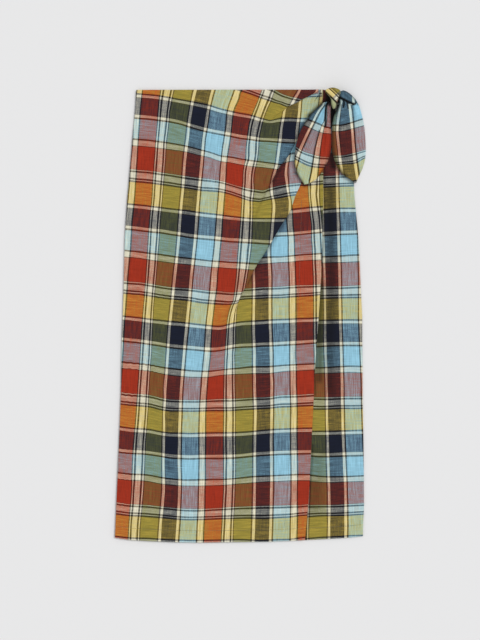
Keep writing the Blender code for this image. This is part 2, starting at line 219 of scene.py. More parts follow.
# Shares of a crease's path that it takes to rise and to fall, and of the skirt below the knot
CREASE_RISE = 0.35
CREASE_FALL = 0.45
CREASE_START = 0.02
CREASE_START_FADE = 0.1
CREASES = [
    (-0.0010, 6, [(271, 186), (263, 197), (257, 203), (248, 216), (240, 236)]),
    (0.0016, 8, [(254, 172), (246, 192), (236, 218), (228, 240)]),
    (0.0012, 7, [(280, 196), (268, 214), (256, 234)]),
    (0.0010, 2.5, [(297, 106), (290, 110), (282, 114), (270, 119)]),
    (0.0010, 6, [(236, 300), (230, 316), (226, 336)]),
    (-0.0010, 6, [(228, 300), (222, 322)]),
    (0.0009, 6, [(215, 110), (190, 122), (168, 140)]),
    (-0.0008, 7, [(230, 118), (205, 132), (184, 152)]),
    (0.0008, 9, [(262, 270), (252, 310), (246, 360)]),
    (-0.0007, 8, [(280, 250), (272, 300), (268, 350)]),
    (0.0006, 10, [(160, 240), (158, 320), (150, 420)]),
    (-0.0006, 10, [(196, 260), (186, 340), (178, 430)]),
    (0.0006, 9, [(292, 330), (288, 420), (286, 500)]),
]

# Darkening painted into the cloth's colour: how much darker, half width in pixels, path in the photograph.
# Most strokes are painted shade: in the depth of tight folds, round the knot and the tie ends, and along fold
# edges and the free edge. A few thin strokes darken dark lines of the check.
OVER_SHADE = [
    (0.85, 2.4, [(330.0, 93.0), (329.0, 97.0), (328.6, 101.0), (328.6, 105.0)]),
    (0.45, 2.6, [(326.6, 92.0), (326.4, 97.0), (325.4, 103.0)]),
    # This stroke darkens a thin dark line of the check.
    (0.45, 0.6, [(319.8, 90.6), (319.0, 96.0), (318.8, 103.0)]),
    (0.60, 2.4, [(324.5, 102.5), (320.5, 105.5), (316.0, 110.0), (309.8, 115.5)]),
    (0.35, 2.0, [(309.8, 115.5), (302.4, 126.0), (296.6, 139.5), (294.3, 152), (293.9, 163), (296.2, 173)]),
    (0.40, 1.6, [(296.2, 173), (301.4, 182.6), (304.6, 185.6), (309.0, 184.4)]),
    (0.25, 1.5, [(296.4, 144.2), (288.8, 157.6), (279.2, 170.4), (271.2, 186.4)]),
    (0.22, 1.6, [(290.6, 212.4), (281.4, 227.0), (268.8, 248.6), (257.8, 265.8), (249.4, 281.8)]),
]
UNDER_SHADE = [
    (0.90, 3.4, [(331.0, 104.0), (332.6, 112.0), (332.2, 124.0)]),
    (0.55, 3.0, [(331.4, 146.0), (331.8, 158.0), (333.0, 166.0)]),
    (0.40, 2.0, [(336.5, 167.5), (343.0, 175.6), (349.5, 179.6), (355.5, 184.0), (360.0, 177.0)]),
    (0.25, 1.2, [
        (324.6, 166), (324.6, 200), (323.4, 240), (322.0, 280), (319.6, 320), (316.6, 360), (315.0, 395),
    ]),
    (0.30, 1.2, [(312.6, 445), (310.8, 480), (308.8, 510), (306.0, 540)]),
    (0.32, 3.0, [(321.6, 285), (321.2, 320), (320.0, 360), (319.6, 380)]),
    # The next two broad strokes make a strip beside the free edge darker.
    (0.28, 5.0, [(330.4, 190), (331.2, 240), (331.2, 280), (330.6, 330), (329.6, 362), (330.4, 390)]),
    (0.15, 8.0, [(318.0, 458), (317.0, 480), (314.5, 508)]),
]
LEFT_TAIL_SHADE = [
    (0.85, 1.0, [(327.4, 103), (325.9, 107), (325.5, 114), (325.4, 121), (325.2, 126.4)]),
    (0.80, 2.0, [(329.6, 97), (329.2, 102), (328.8, 104.6)]),
    (0.65, 1.1, [(331.2, 104), (331.2, 112), (331.2, 120), (331.4, 128)]),
    (0.35, 2.0, [(331.6, 128), (331.9, 140), (331.2, 150), (328.6, 160)]),
    # The next two strokes darken thin dark lines of the check.
    (0.45, 0.6, [
        (325.2, 105.4), (320.9, 111.4), (317.8, 117.6), (313.6, 126.2), (308.6, 136.8), (304.0, 147.2),
    ]),
    (0.50, 0.7, [
        (319.2, 131), (316.6, 140), (314.9, 148), (313.4, 157), (312.2, 165), (310.8, 173), (309.0, 181),
    ]),
    (0.40, 1.2, [(322.0, 104.4), (317.6, 108.4), (311.2, 114.8), (303.2, 126.2)]),
    (0.30, 1.0, [(295.0, 154), (294.9, 163.5), (297.2, 172.5), (300.0, 178.2), (303.4, 184)]),
    (0.45, 1.6, [(327.0, 163.5), (323.2, 170.6), (319.6, 175.6)]),
]
RIGHT_TAIL_SHADE = [
    (0.90, 1.0, [(337.6, 97.8), (340.6, 98.8), (344.6, 100.4), (349.6, 102.8), (353.6, 104.4)]),
    (0.80, 0.7, [(343.4, 100.4), (343.8, 103.4), (343.2, 107.6)]),
    (0.80, 0.7, [(346.4, 101.4), (347.4, 104.6), (348.0, 108.6)]),
    (0.60, 0.6, [(353.4, 104.2), (355.6, 103.4), (357.4, 101.4)]),
    (0.85, 2.2, [(338.2, 97.5), (338.0, 102.5), (336.4, 108.0), (334.6, 112.0)]),
    (0.45, 2.4, [
        (333.6, 113), (331.8, 122), (331.4, 135), (332.2, 150), (334.6, 160), (338.8, 169.4), (344, 175.4),
    ]),
    # The next two strokes darken thin dark lines of the check.
    (0.35, 0.6, [(341.0, 105.4), (340.2, 118), (338.9, 131), (339.9, 142), (341.0, 152)]),
    (0.45, 0.6, [(352.4, 106), (354.0, 121), (354.9, 133), (356.0, 147), (357.6, 161), (359.8, 176)]),
    (0.30, 1.2, [(341.5, 91.4), (346.5, 92.2), (352.6, 96.8), (358.0, 104.6)]),
]
KNOT_SHADE = [
    (0.75, 1.0, [(340.2, 95.4), (338.8, 99.0), (337.8, 102.0), (336.9, 105.0), (336.0, 109.0)]),
    (0.50, 0.9, [(325.4, 93.4), (329.0, 97.8), (330.2, 101.0), (330.4, 105.0), (331.6, 109.4)]),
    (0.80, 0.7, [(330.2, 98.0), (334.2, 102.0), (337.4, 105.4)]),
    # The next two strokes darken thin dark lines between the cream stripes.
    (0.45, 0.5, [(328.6, 89.0), (333.2, 93.4), (338.0, 98.2)]),
    (0.35, 0.5, [(331.4, 88.6), (335.6, 92.4), (339.6, 96.4)]),
    (0.30, 1.0, [(327.0, 88.6), (332.0, 87.8), (337.6, 88.6)]),
]

# The check. Warp stripes run down the skirt and weft stripes run across it.
# Each entry says where a stripe starts, in pixels, and its yarn.
WARP_REPEAT = 93.8
WEFT_REPEAT = 111.0
WARP = [
    (0.0, "gold"), (16.5, "line"), (18.1, "cream"), (20.6, "line"), (21.5, "navy"), (34.5, "line"),
    (34.9, "cream"), (37.4, "line"), (39.0, "blue"), (55.4, "line"), (56.9, "cream"), (62.4, "line"),
    (63.8, "red"), (80.5, "line"), (81.5, "cream"), (82.8, "line"), (84.4, "cream"), (89.6, "line"),
    (91.3, "cream"), (92.5, "line"),
]
WEFT = [
    (0.0, "gold"), (21.6, "line"), (23.4, "cream"), (25.9, "line"), (26.6, "navy"), (43.6, "line"),
    (44.0, "cream"), (46.6, "line"), (48.4, "blue"), (68.0, "line"), (69.4, "cream"), (74.7, "line"),
    (75.6, "red"), (98.1, "line"), (98.6, "cream"), (99.6, "line"), (101.4, "cream"), (106.6, "line"),
    (108.0, "cream"), (109.0, "line"),
]
# Dyed yarn colours as a screen shows them, red green blue of 255
WARP_YARN = {
    "gold": (106, 107, 52), "navy": (20, 24, 35), "blue": (156, 208, 228), "red": (168, 50, 24),
    "cream": (244, 236, 205), "line": (30, 28, 22),
}
WEFT_YARN = {
    "gold": (194, 163, 67), "navy": (26, 32, 51), "blue": (132, 181, 204), "red": (140, 48, 34),
    "cream": (202, 200, 184), "line": (34, 30, 26),
}

# Weave: threads a pixel, and how far the slubs of the yarns change it
THREADS = 5.0
WEAVE_CONTRAST = 0.2
SLUB_PITCH = 0.85
SLUB_RUN = 0.06
SLUB_DETAIL = 3.0
SLUB_BALANCE = 0.45
SLUB_SHADE = 0.55

# Surfaces: constant values of the shader, and the strength and depth of the relief
COTTON_SURFACE = {"Roughness": 0.85, "Specular IOR Level": 0.2, "Sheen Weight": 0.05, "Sheen Roughness": 0.5}
COTTON_RELIEF = (0.35, 0.0003)
THREAD_SURFACE = {"Roughness": 0.7}
THREAD_RELIEF = (0.4, 0.0001)
THREAD_DARK = (0.075, 0.068, 0.048, 1.0)
THREAD_LIGHT = (0.16, 0.15, 0.11, 1.0)
THREAD_TWIST = 2500.0
PAPER_SURFACE = {"Base Color": (0.80, 0.80, 0.805, 1.0), "Roughness": 0.9, "Specular IOR Level": 0.1}
SCREEN_GAMMA = 2.2

# Studio: lengths in metres, the sun's width in degrees, lens and sensor in millimetres, photograph in pixels
FLOOR_HALF = 4.0
FLOOR_LEVEL = -0.0003
SKY_LIGHT = 0.62
SUN_LIGHT = 1.45
SUN_WIDTH = 25
SUN_DIRECTION = (0.55, 0.35, 1.0)
SENSOR = 36.0
LENS = 135.0
SIGHT = 20.0
PHOTO_CENTRE = (240, 320)
PHOTO_HEIGHT = 640
FOCUS_HEIGHT = 0.004

# Numbers of the stripe edges that were read off the photograph. In a reading, a letter names the stripe, the
# number after it counts the repeats, and its place follows.
WARP_EDGE = {
    "Y": 0.0, "n": 18.0, "N": 21.5, "o": 35.1, "B": 39.0, "m": 57.3, "R": 63.7, "S": 80.9, "e": 84.6,
    "u": 91.5,
}
WEFT_EDGE = {
    "Y": 0.0, "a": 22.5, "N": 26.6, "o": 43.9, "b": 47.5, "c": 68.7, "R": 75.5, "d": 100.5, "f": 110.0,
}
# Parts of the wrap that a reading counts for, row, first stripe, and the columns where that stripe and the
# ones after it start. A dash stands for a stripe that wasn't read.
WARP_READINGS = [
    ("FL", 92, "m-1", "137.5 142.3 160.2 164.2 171.7 174.2 192.9 197 210.8 215 234.6 240.8"),
    ("F", 90, "R0", "242.2 262 264.7 273.3 275.2 298.2 301.6 316"),
    ("F", 100, "R0", "238.9 258.2 260.9 269.5 271.9 292.5 296.3"),
    ("FL", 110, "R-1", "140.7 158 161.7 168.3 170.4 189.6 192.9 207 210.4 228.3 234.2"),
    ("L", 93, "m1", "320.8 323.4 329"),
    ("L", 99, "m1", "319.9 322.9 329"),
    ("L", 100, "o1", "299.2 302.4"),
    ("L", 104, "m1", "319.2 322.6"),
    ("L", 110, "o1", "298.2 301.6"),
    ("L", 112, "n1", "282.9"),
    ("L", 118, "m0", "227.4 233.6 251.9 255.1 261.8 264.5 - - 297.3"),
    ("L", 120, "n1", "281.5"),
    ("FL", 125, "R-1", "139.5 157.1 160.4 - 169.2 187.3 190.8 204.6 208.3 226.7 232.1"),
    ("L", 125, "S0", "250"),
    ("L", 130, "e0", "252.3 - 261.8 280 282.8 295.8"),
    ("FL", 140, "m-1", "133.8 138.3 155.9 158.8 - 167.1 185.8 189.3 202.3 205.8 224.6 230.4"),
    ("L", 140, "S0", "248"),
    ("L", 140, "o1", "295.3"),
    ("L", 150, "e0", "250.4 - 259 277.2"),
    ("FL", 160, "R-1", "137.3 154.3 157.5 164 165.8 183.2 186.7 200.7 204.2 222.1 227.1"),
    ("L", 160, "S0", "245.9"),
    ("L", 165, "e0", "247.5 - 256.8 275.2"),
    ("L", 180, "e0", "246 - 254.2"),
    ("M", 155, "N1", "275.5 287.5 290.5"),
    ("M", 165, "N1", "275 285.5 289"),
    ("M", 175, "N1", "273 284.5 288.5 304"),
    ("M", 182, "N1", "273 285.5 289.2"),
    ("FL", 185, "m-1", "130.2 135.7 152.6 155.7 - 163.8 181.7 185 198.3 201.7 220 225.8 242.5"),
    ("FLM", 190, "e0", "245 - 254.7 270 273.3 286.7 289.6"),
    ("LM", 195, "n1", "270.8 273.5 287.7 290.4"),
    ("R", 195, "S1", "308.4 311 317.1 320.4"),
    ("FLM", 200, "m-1", "128.8 134.6 151.8 154.6 - 162.7 180.2 183.5 196.8 200.4 218.8 224.6 241.8 245 251"),
    ("FLM", 200, "Y1", "253.5 271.8 275 288.6"),
    ("R", 205, "R1", "292.3 309.3 312"),
    ("FLM", 220, "R-1", "132.5 149.7 152.5 158.3 160.8 178.5 181.7 195.2 199.2 217.1 222.9 240.5 244 250.8"),
    ("FLM", 220, "Y1", "253 271.7 274.8"),
    ("R", 225, "m1", "287.9 293.3 311.3 314.6 320.4"),
    ("R", 240, "B1", "271.7 289 294.6 311.4 315.4 321.3"),
    ("FLM", 250, "R-1", "130.8 147.6 150.8 156.4 158.8 176.3 179.6 192.7 196.7 214.6 220.4 238 241.7 248.8"),
    ("FLM", 250, "Y1", "251.7"),
    ("R", 250, "o1", "267.5 271.3 289 294.8 312.1 316 321.7"),
    ("FLM", 275, "R-1", "128.3 145.9 149 154.8 156.7 173.2 176.8 190 193.8 211.7 217.9 236.3 239.6 245.8"),
    ("FLM", 275, "Y1", "248"),
    ("R", 275, "n1", "252.5 255.4 268.3 272.5 290 295.7 312.9 316.7"),
    ("FLM", 300, "R-1", "126.7 144.2 147.1 152.7 154.3 171 174.2 187.9 191.7 209.6 215.4 233.2"),
    ("FLMR", 310, "n1", "252.3 255.4 268.5 272.5 290 296.3 313.4"),
    ("FLMR", 330, "R-1", "124.3 141.3 145.2 150.8 152.8 167.7 170.8 184.9 189.1 206.2 212 226.4 229.1"),
    ("FLMR", 330, "Y1", "235.8"),
    ("FLMR", 335, "n1", "252.5 255.4 269.3 272.9 290.7 296.3 313.4"),
    ("FLMR", 355, "S-1", "140 143.5 149.9 152 166 169.5 182.7 186.4 204.7 210.8 224.6 228.3 233 235.2 252.9"),
    ("FLMR", 355, "N1", "256.3 269.6 273.9 290.4 296 313.9"),
    ("FLMR", 385, "S-1", "137.7 141.2 147.8 149.9 163.5 167.4 180.2 183.8 202 207.7 223.4 227.2 233.3 235.3"),
    ("FLMR", 385, "n1", "253.2 256.3 270.4 274.2 290.8 296.8 314.2"),
    ("FLMR", 415, "S-1", "135.8 139.7 146.2 148.4 163 165.3 178.7 182.7 200.1 206 223.4 227.4 233.8 236"),
    ("FLMR", 415, "n1", "253.8 257.3 270.2 274.2 291.5 297.5"),
    ("FLMR", 440, "n1", "253.3 256.8 269.8 273.8 291.3 297.3"),
    ("FLMR", 460, "S-1", "132.1 136.2 143.3 145.3 162.3 165 177.6 181.8 199.9 205.5 223.3 227.4 233.8 236.2"),
    ("FLMR", 460, "n1", "253.2 256.5 270 274.2 291.7 297.7"),
    ("FLMR", 490, "S-1", "131.3 134.5 141.6 144.1 162 165.3 178.1 182 199.3 205.3 223.3 227 233.3 235.5"),
    ("FLMR", 490, "n1", "252.9 256.3 270 274.3 291.8 297.7"),
    ("FLMR", 525, "S-1", "128.7 131.8 138.5 140.8 159 162.3 176.3 180.5 198 204.3 221.7 225.5 231.8 233.8"),
    ("FLMR", 525, "n1", "252 255.8 269.3 273.2 291 297.7"),
]
# Parts, stripe, first column, rows where that stripe starts at every tenth column from there
WEFT_STEP = 10
WEFT_READINGS = [
    ("FL", "a-1", 140, "94 94.8 96 97.7 99.6 101.3 103.2 105.5 108.8 111.1 113.3 115"),
    ("L", "a-1", 260, "118 119 118.5 118 118.5"),
    ("FL", "b-1", 140, "118.3 119 120.4 121.7 123.8 127.1 130 132.3 134.2 136 138.2 139.3"),
    ("L", "b-1", 270, "141.2 142 142.7"),
    ("FL", "c-1", 140, "139.3 140.2 141.7 142.9 144.8 146.8 149.6 152.3 155.7 156.8 158.8"),
    ("L", "c-1", 250, "160.3 161.6 162.8 164.2"),
    ("FL", "R-1", 140, "146.3 147.1 148.3 149.6 150.8 152.7 155.4 157.5 161.3 162.7 164.6"),
    ("L", "R-1", 260, "167.2 168.5"),
    ("FL", "d-1", 140, "171.8 172.7 174.3 175.7 177.3 178.8 180 181 182.3 185.4 188.3"),
    ("LM", "d-1", 250, "190.7 192.1 190"),
    ("LM", "d-1", 255, "191.5"),
    ("LM", "d-1", 263.3, "192.5"),
    ("M", "d-1", 280, "187.5 185.8"),
    ("FLM", "f-1", 140, "182 182.8 184.1 185.4 187 188.3 190 190.8 191.5 193.7 197.3"),
    ("LM", "f-1", 250, "200.5 201.5 199.2 197.5 195.6"),
    ("LM", "f-1", 245, "199 201"),
    ("LM", "f-1", 264, "200.4"),
    ("M", "c-1", 291, "153.4"),
    ("M", "R-1", 283, "163.5"),
    ("M", "R-1", 290, "161.5"),
    ("M", "R-1", 296, "161"),
    ("FLM", "a0", 130, "204.1 205 206.2 207.5 208.8 209.9 211.1 212.5 213.8 214.8 216.3 217.4 218.3 218.6"),
    ("FLM", "a0", 270, "218.6 218.5"),
    ("FLM", "b0", 130, "229.3 230.4 231.8 232.5 234.2 235.7 237.5 238.5 239.3 240.4 241.5 242 242.7 243.3"),
    ("FLM", "b0", 270, "243.8"),
    ("FLM", "c0", 130, "250.8 251.8 253.2 254.2 255.7 257.1 258.3 259.6 260.7 261.3 262.1 262.6 263.2"),
    ("FLM", "R0", 130, "257.3 258.5 260 261.5 262.7 263.8 264.8 265.8 267.1 267.7 268.5 269 269.9"),
    ("FLM", "d0", 130, "283.5 284.2 285.7 287.5 289 289.8 290.4 291.7 292.9 293.3 294.3"),
    ("FLM", "f0", 130, "293.6 294.4 295.8 297.4 298.8 299.5 300.5 302.2 303.2 303.9 304.3"),
    ("R", "f-1", 300, "185.3 184.8 183.9"),
    ("R", "a0", 300, "208.5 207.5 206.7"),
    ("R", "o0", 290, "232 231.3 230.2"),
    ("R", "b0", 280, "235.7 235.2 234.3 233.3 232.4"),
    ("R", "c0", 270, "256.8 256.7 255.8 254.8 254.2 253.3"),
    ("R", "R0", 270, "263.3 262.5 262.1 261 260.4 260"),
    ("R", "d0", 250, "290.1 289.2 288.8 288.5 287.7 287.1 286.8 286.3"),
    ("R", "f0", 250, "298.5 298.2 297.6 297.5 296.7 296.1 295.4 294.5"),
    ("FLMR", "a1", 130, "316.7 317.9 319.3 320.2 321.5 322.1 323.5 324.6 325.6 326.4 324 322 321.3 320.7"),
    ("FLMR", "a1", 270, "320 319.6 319.2 318.5 318.3"),
    ("FLMR", "b1", 130, "341.7 342.7 344.2 345.8 347.5 348.5 349.3 350.2 351 350.4 348.3 347.1 346.7 346"),
    ("FLMR", "b1", 270, "345.7 345.2 344.6 344 343.3"),
    ("FLMR", "c1", 130, "362.7 363.8 365 366.7 368.2 369.3 370.4 371 371 370 368.8 368 366.8 366.5 366.3"),
    ("FLMR", "c1", 280, "365.4 364.8 364.2 363.8"),
    ("FLMR", "R1", 130, "368.8 369.8 370.7 373.3 375.2 376.3 377.1 377.3 377.1 375.4 374.6 374.1 373.8"),
    ("FLMR", "R1", 260, "373.5 373.3 372.1 371 370.7 370.2"),
    ("FLMR", "d1", 130, "395.7 396.3 397.1 399.6 401.3 401.7 401.8 401.8 401.3 400.8 400.8 400.4 399.6"),
    ("FLMR", "d1", 260, "399.2 398.8 397.1 396.8 396.5 395.8"),
    ("FLMR", "f1", 130, "405 405.8 406.7 409.2 410.7 410.8 411 410.8 410.5 410.4 410.4 409.6 409 408.5"),
    ("FLMR", "f1", 270, "407.9 406.8 406.5 405.8 405.4"),
    ("FLMR", "a2", 120, "426.5 428.2 428.8 429.6 431.7 432.9 433.2 433.5 433.2 432.9 432.8 432.7 432.3"),
    ("FLMR", "a2", 250, "431.7 430.7 429.8 429.2 428.8 428.3 428.2"),
    ("FLMR", "b2", 120, "452.3 453.3 453.5 454.6 456 457.7 458.3 458.8 458.3 458.3 458.2 458 457.4 456.3"),
    ("FLMR", "b2", 260, "455.4 454.8 454.3 454 453.6 453.5"),
    ("FLMR", "c2", 120, "472.7 474 474.3 475.2 477.1 478.5 479.6 479.8 479.6 479.4 479.3 478.8 477.9"),
    ("FLMR", "c2", 250, "476.7 476.1 475.7 475.2 474.7 474.3"),
    ("FLMR", "R2", 120, "479 480.2 480.7 481.7 483.8 484.8 485.8 486 486 485.8 485.4 484.8 483.8 483.2"),
    ("FLMR", "R2", 260, "482.3 481.7 481.3 480.8 480.7"),
    ("FLMR", "d2", 120, "504.8 506 506.5 507.1 508.2 509.2 510.2 510.7 510.7 510.2 509.6 509 508.5 508.2"),
    ("FLMR", "d2", 260, "507.9 507.7 507.5 507.1 506.8"),
    ("FLMR", "f2", 120, "514.2 515.4 515.8 516.5 517.3 518.3 519.2 519.6 519.3 519 518.5 518.3 518 517.9"),
    ("FLMR", "f2", 260, "518.2 517.9 517.3 516.8 515.4"),
    ("FLMR", "a3", 120, "536.8 537.9 538.2 538.5 539.2 539.8 540.1 540.4 540.4 540.2 540 539.8 539.6"),
    ("FLMR", "a3", 250, "540 540.4 540 539.6 539.3 537.9"),
    ("L", "Y-1", 308, "97.5"),
    ("L", "Y-1", 320, "97"),
    ("L", "a-1", 310, "118.5 118.5"),
    ("F", "f-2", 241, "90.6"),
    ("F", "f-2", 262, "98"),
    ("F", "f-2", 287, "106.5"),
    ("F", "d-2", 272, "90.5"),
    ("F", "d-2", 280, "95"),
    ("F", "d-2", 296, "100"),
]
UNDER_WARP = [
    ("U", 195, "N2", "324.2 336 339.6"),
    ("U", 225, "N2", "324.6 336.8 340.7"),
    ("U", 250, "N2", "325.4 337.5 341.3"),
    ("U", 275, "n2", "323.2 326 338.2 342.1"),
    ("U", 310, "n2", "323.8 326.5 338.8 342.5 359.3"),
    ("U", 335, "n2", "323.8 326.7 339.6 343"),
    ("U", 355, "n2", "324.3 327.3 340.2 343.8"),
    ("U", 385, "n2", "325.4 328 340.8 344.6"),
    ("U", 415, "n2", "325.7 328.3 341.3 345"),
    ("U", 440, "n2", "326.3 329.2 342 345.8"),
    ("U", 465, "n2", "326.7 330 343 347"),
    ("U", 490, "n2", "327.7 330.7 344.2 348"),
    ("U", 525, "u1", "307 309.5 327.9 330.7 344.3 348.5"),
]
UNDER_WEFT = [
    ("U", "d-1", 327, "177.7"),
    ("U", "f-1", 330, "186.6 186 185.7"),
    ("U", "a0", 330, "209.1 208.3 208.3"),
    ("U", "b0", 330, "235 234.3 234"),
    ("U", "c0", 330, "256.3 255.8 255 254.7"),
    ("U", "R0", 330, "262.7 262.5 262.1 261.7"),
    ("U", "d0", 330, "288.3 288.2 287.7 287.2"),
    ("U", "f0", 320, "298.2 297.9 297.6 297.4 297.3"),
    ("U", "a1", 320, "320.4 320.2 320 319.8 320"),
    ("U", "b1", 320, "346.3 345.7 345.4 345.3 345.4"),
    ("U", "c1", 320, "367.7 367.1 366.5 366 366.3"),
    ("U", "R1", 320, "373.3 373.3 372.9 372.5"),
    ("U", "d1", 320, "399.2 399.2 398.8 398.5 398.5"),
    ("U", "f1", 320, "409 408.8 408.3 408.3 408.2"),
    ("U", "a2", 320, "431.3 431.3 431 430.7 430.4"),
    ("U", "b2", 320, "456.5 456.5 456 455.7 455.5"),
    ("U", "c2", 310, "475.1 476.3 476.7 476.5 476.3 475.8"),
    ("U", "R2", 310, "481.6 482.3 482.5 482.3 481.8 481.5"),
    ("U", "d2", 310, "506.9 506.7 506.8 506.5 505.8 505.4"),
    ("U", "f2", 310, "516.4 515.7 515.6 515.4 515 514.3"),
    ("U", "a3", 310, "538.4 537.5 537 536.5 535.7 535.4"),
]
# The back's outer face doesn't show. Its check starts at this column and row.
BACK_CHECK_CORNER = (141, 183)

# Tie ends. Warp: stripe numbers, then rows with the columns where they lie. Weft: number, points along it.
LEFT_TAIL_WARP = [
    (18.1, 35.1, 39.0, 56.1, 57.3, 62.9, 63.8, 80.9),
    (101, 319, 323.4, 326.2, 327.6, 328.2, 328.5, 328.8, 333),
    (106, 314, 321.6, 324.6, 325.4, 326.6, 326.9, 327.1, 332),
    (111, 306, 317.7, 321.0, 324.4, 326.5, 326.8, 327.0, 331.5),
    (117, 302, 314.4, 317.6, 324.2, 326.3, 326.8, 327.0, 331.5),
    (122, 298, 312.0, 315.4, 323.4, 324.4, 326.2, 326.7, 332),
    (126, 296, 309.9, 313.4, 321.2, 321.8, 324.2, 324.8, 333),
    (131, 294, 307.2, 311.0, 319.5, 320.2, 323.0, 323.7, 335),
    (140, 289, 302.9, 307.0, 316.9, 317.7, 321.4, 322.0, 334),
    (147, 286, 299.7, 303.8, 315.2, 316.1, 320.3, 321.0, 334),
    (155.6, 283, 296.3, 300.6, 313.6, 314.6, 319.3, 320.2, 334),
    (164, 280, 294.0, 298.4, 312.4, 313.5, 318.4, 319.3, 333),
    (172, 278, 291.6, 296.2, 311.0, 312.2, 317.6, 318.6, 333),
    (184, 275, 287.0, 292.0, 308.6, 309.8, 316.0, 317.2, 332),
]
LEFT_TAIL_WEFT = [
    (68.6, [(306.8, 119.2), (312.6, 121.6), (318, 123.6), (322, 125.6), (328, 127.4)]),
    (75.5, [(304.4, 125.9), (313, 129.8), (321.7, 133.2), (330.3, 134.0)]),
    (98.6, [(296.3, 147), (301.6, 150.8), (311.1, 154.2), (320.7, 156.6), (328.3, 157)]),
    (111.0, [(296.3, 160.5), (301.6, 163.5), (307.3, 166.2), (313, 167.6), (323.6, 168.2)]),
]
RIGHT_TAIL_WARP = [
    (0.0, 18.1, 21.5, 34.6, 35.1, 39.0, 56.0),
    (92, 328, 337.6, 339.6, 351.4, 352.0, 355.8, 372),
    (100.5, 328, 337.6, 339.6, 351.4, 352.0, 355.8, 372),
    (103.5, 330, 339.8, 342.8, 347.0, 347.6, 351.6, 370),
    (112, 328, 337.6, 341.0, 348.4, 349.0, 353.0, 370),
    (123, 327, 336.2, 339.4, 349.5, 350.2, 353.9, 371),
    (133, 326, 335.9, 338.9, 350.4, 351.2, 354.8, 372),
    (142, 326, 336.8, 340.0, 351.0, 351.8, 355.5, 372),
    (152, 327, 337.8, 341.0, 351.6, 352.4, 356.5, 373),
    (161, 327, 338.6, 342.2, 352.4, 353.2, 357.6, 374),
    (171, 328, 340.3, 343.6, 354.0, 354.8, 359.0, 375),
    (183, 329, 342.5, 345.6, 356.0, 356.8, 361.0, 376),
]
RIGHT_TAIL_WEFT = [
    (68.6, [(333.1, 125), (339.8, 125), (349.4, 123.1), (360.9, 119.2)]),
    (75.5, [(333.1, 131.2), (342.7, 131.2), (352.3, 128.8), (362.8, 125.9)]),
    (98.6, [(333.1, 155.6), (341.7, 155.6), (351.3, 153.7), (364.7, 149.9)]),
    (111.0, [(335, 165.2), (344.6, 164.7), (356.1, 163.3), (364.7, 158.5)]),
]
TAIL_FIRST_WEFT = 49.5
# The top fold of the right tie end stops on a slant: its slope, and the column and rows where that holds
TAIL_SLANT = 0.5
SLANT_COLUMN = 346
SLANT_ROW = 103
SLANT_FADE = 9

# Tie ends, from the knot to the tip: left column, left row, right column, right row, lift
LEFT_TAIL = [
    (327.8, 102.2, 331.0, 104.0, 0.0010),
    (323.0, 103.4, 331.0, 107.6, 0.0020),
    (318.0, 108.0, 330.8, 112.4, 0.0030),
    (311.4, 114.2, 330.7, 119.5, 0.0030),
    (303.4, 125.6, 331.1, 130.0, 0.0012),
    (297.4, 140.0, 331.3, 141.0, 0.0),
    (295.0, 153.0, 330.6, 152.0, 0.0),
    (294.8, 163.5, 327.8, 161.5, 0.0),
    (297.0, 172.5, 323.0, 170.0, 0.0),
    (299.8, 178.0, 319.4, 175.4, 0.0),
    (302.4, 182.0, 315.5, 179.8, 0.0),
    (304.2, 184.6, 308.2, 183.8, 0.0),
]
RIGHT_TAIL = [
    (337.0, 101.4, 337.6, 94.0, 0.0110),
    (339.4, 104.0, 343.6, 90.8, 0.0105),
    (338.0, 108.0, 352.5, 96.2, 0.0080),
    (335.2, 112.5, 358.4, 104.6, 0.0045),
    (332.8, 121.0, 362.2, 116.5, 0.0015),
    (331.6, 134.0, 364.6, 129.0, 0.0),
    (331.8, 148.0, 365.7, 144.0, 0.0),
    (334.2, 159.5, 365.4, 157.0, 0.0),
    (338.5, 168.8, 363.0, 167.0, 0.0),
    (343.5, 174.8, 360.2, 173.6, 0.0),
    (349.5, 178.8, 358.0, 178.4, 0.0),
    (354.6, 182.6, 356.6, 182.2, 0.0),
]
# Pleats of a tie end: place across it, height at the knot, width, share of the length where it has faded
LEFT_PLEATS = [(0.22, 0.0030, 0.20, 0.50), (0.60, 0.0042, 0.16, 0.62), (0.88, 0.0036, 0.12, 0.75)]
RIGHT_PLEATS = [(0.16, 0.0040, 0.14, 0.60), (0.50, 0.0034, 0.20, 0.50), (0.86, 0.0040, 0.16, 0.55)]
# Sharp folds of the tie ends: height, half width in pixels, path in the photograph
LEFT_TAIL_FOLDS = [
    (-0.0055, 1.0, [(328.0, 102), (325.8, 107), (325.4, 114), (325.4, 121), (324.6, 129)]),
    (0.0012, 1.6, [(323.5, 104.5), (320.4, 112), (317.6, 122)]),
    (-0.0012, 1.2, [(318.0, 109.6), (311.8, 119), (306.6, 130)]),
    (-0.0010, 2.2, [(324.5, 132), (324.0, 143), (322.5, 154)]),
    (0.0008, 3.0, [(328.0, 132), (327.6, 142), (326.0, 154)]),
]
RIGHT_TAIL_FOLDS = [
    (-0.0070, 1.0, [(337.6, 98.6), (341.5, 100.0), (346.0, 101.4), (351.5, 104.2), (354.0, 107.5)]),
    (-0.0030, 0.7, [(343.6, 100.4), (343.4, 104), (342.6, 110)]),
    (-0.0030, 0.7, [(347.0, 101.6), (347.6, 105), (348.2, 112)]),
    (0.0014, 1.4, [(340.4, 103), (339.4, 112), (338.2, 124)]),
    (-0.0012, 1.2, [(352.6, 106), (354.0, 114), (354.8, 126)]),
    (-0.0010, 2.0, [(346.0, 112), (345.6, 126), (346.0, 146)]),
]
TAIL_ROWS = 170
TAIL_COLUMNS = 84
TAIL_SAMPLE = 0.0045
TAIL_CROWN = 0.0022
TAIL_EDGE_POWER = 5
TAIL_SMOOTHINGS = 6
TAIL_FOLD_RISE = 0.12
TAIL_FOLD_FALL = 0.45

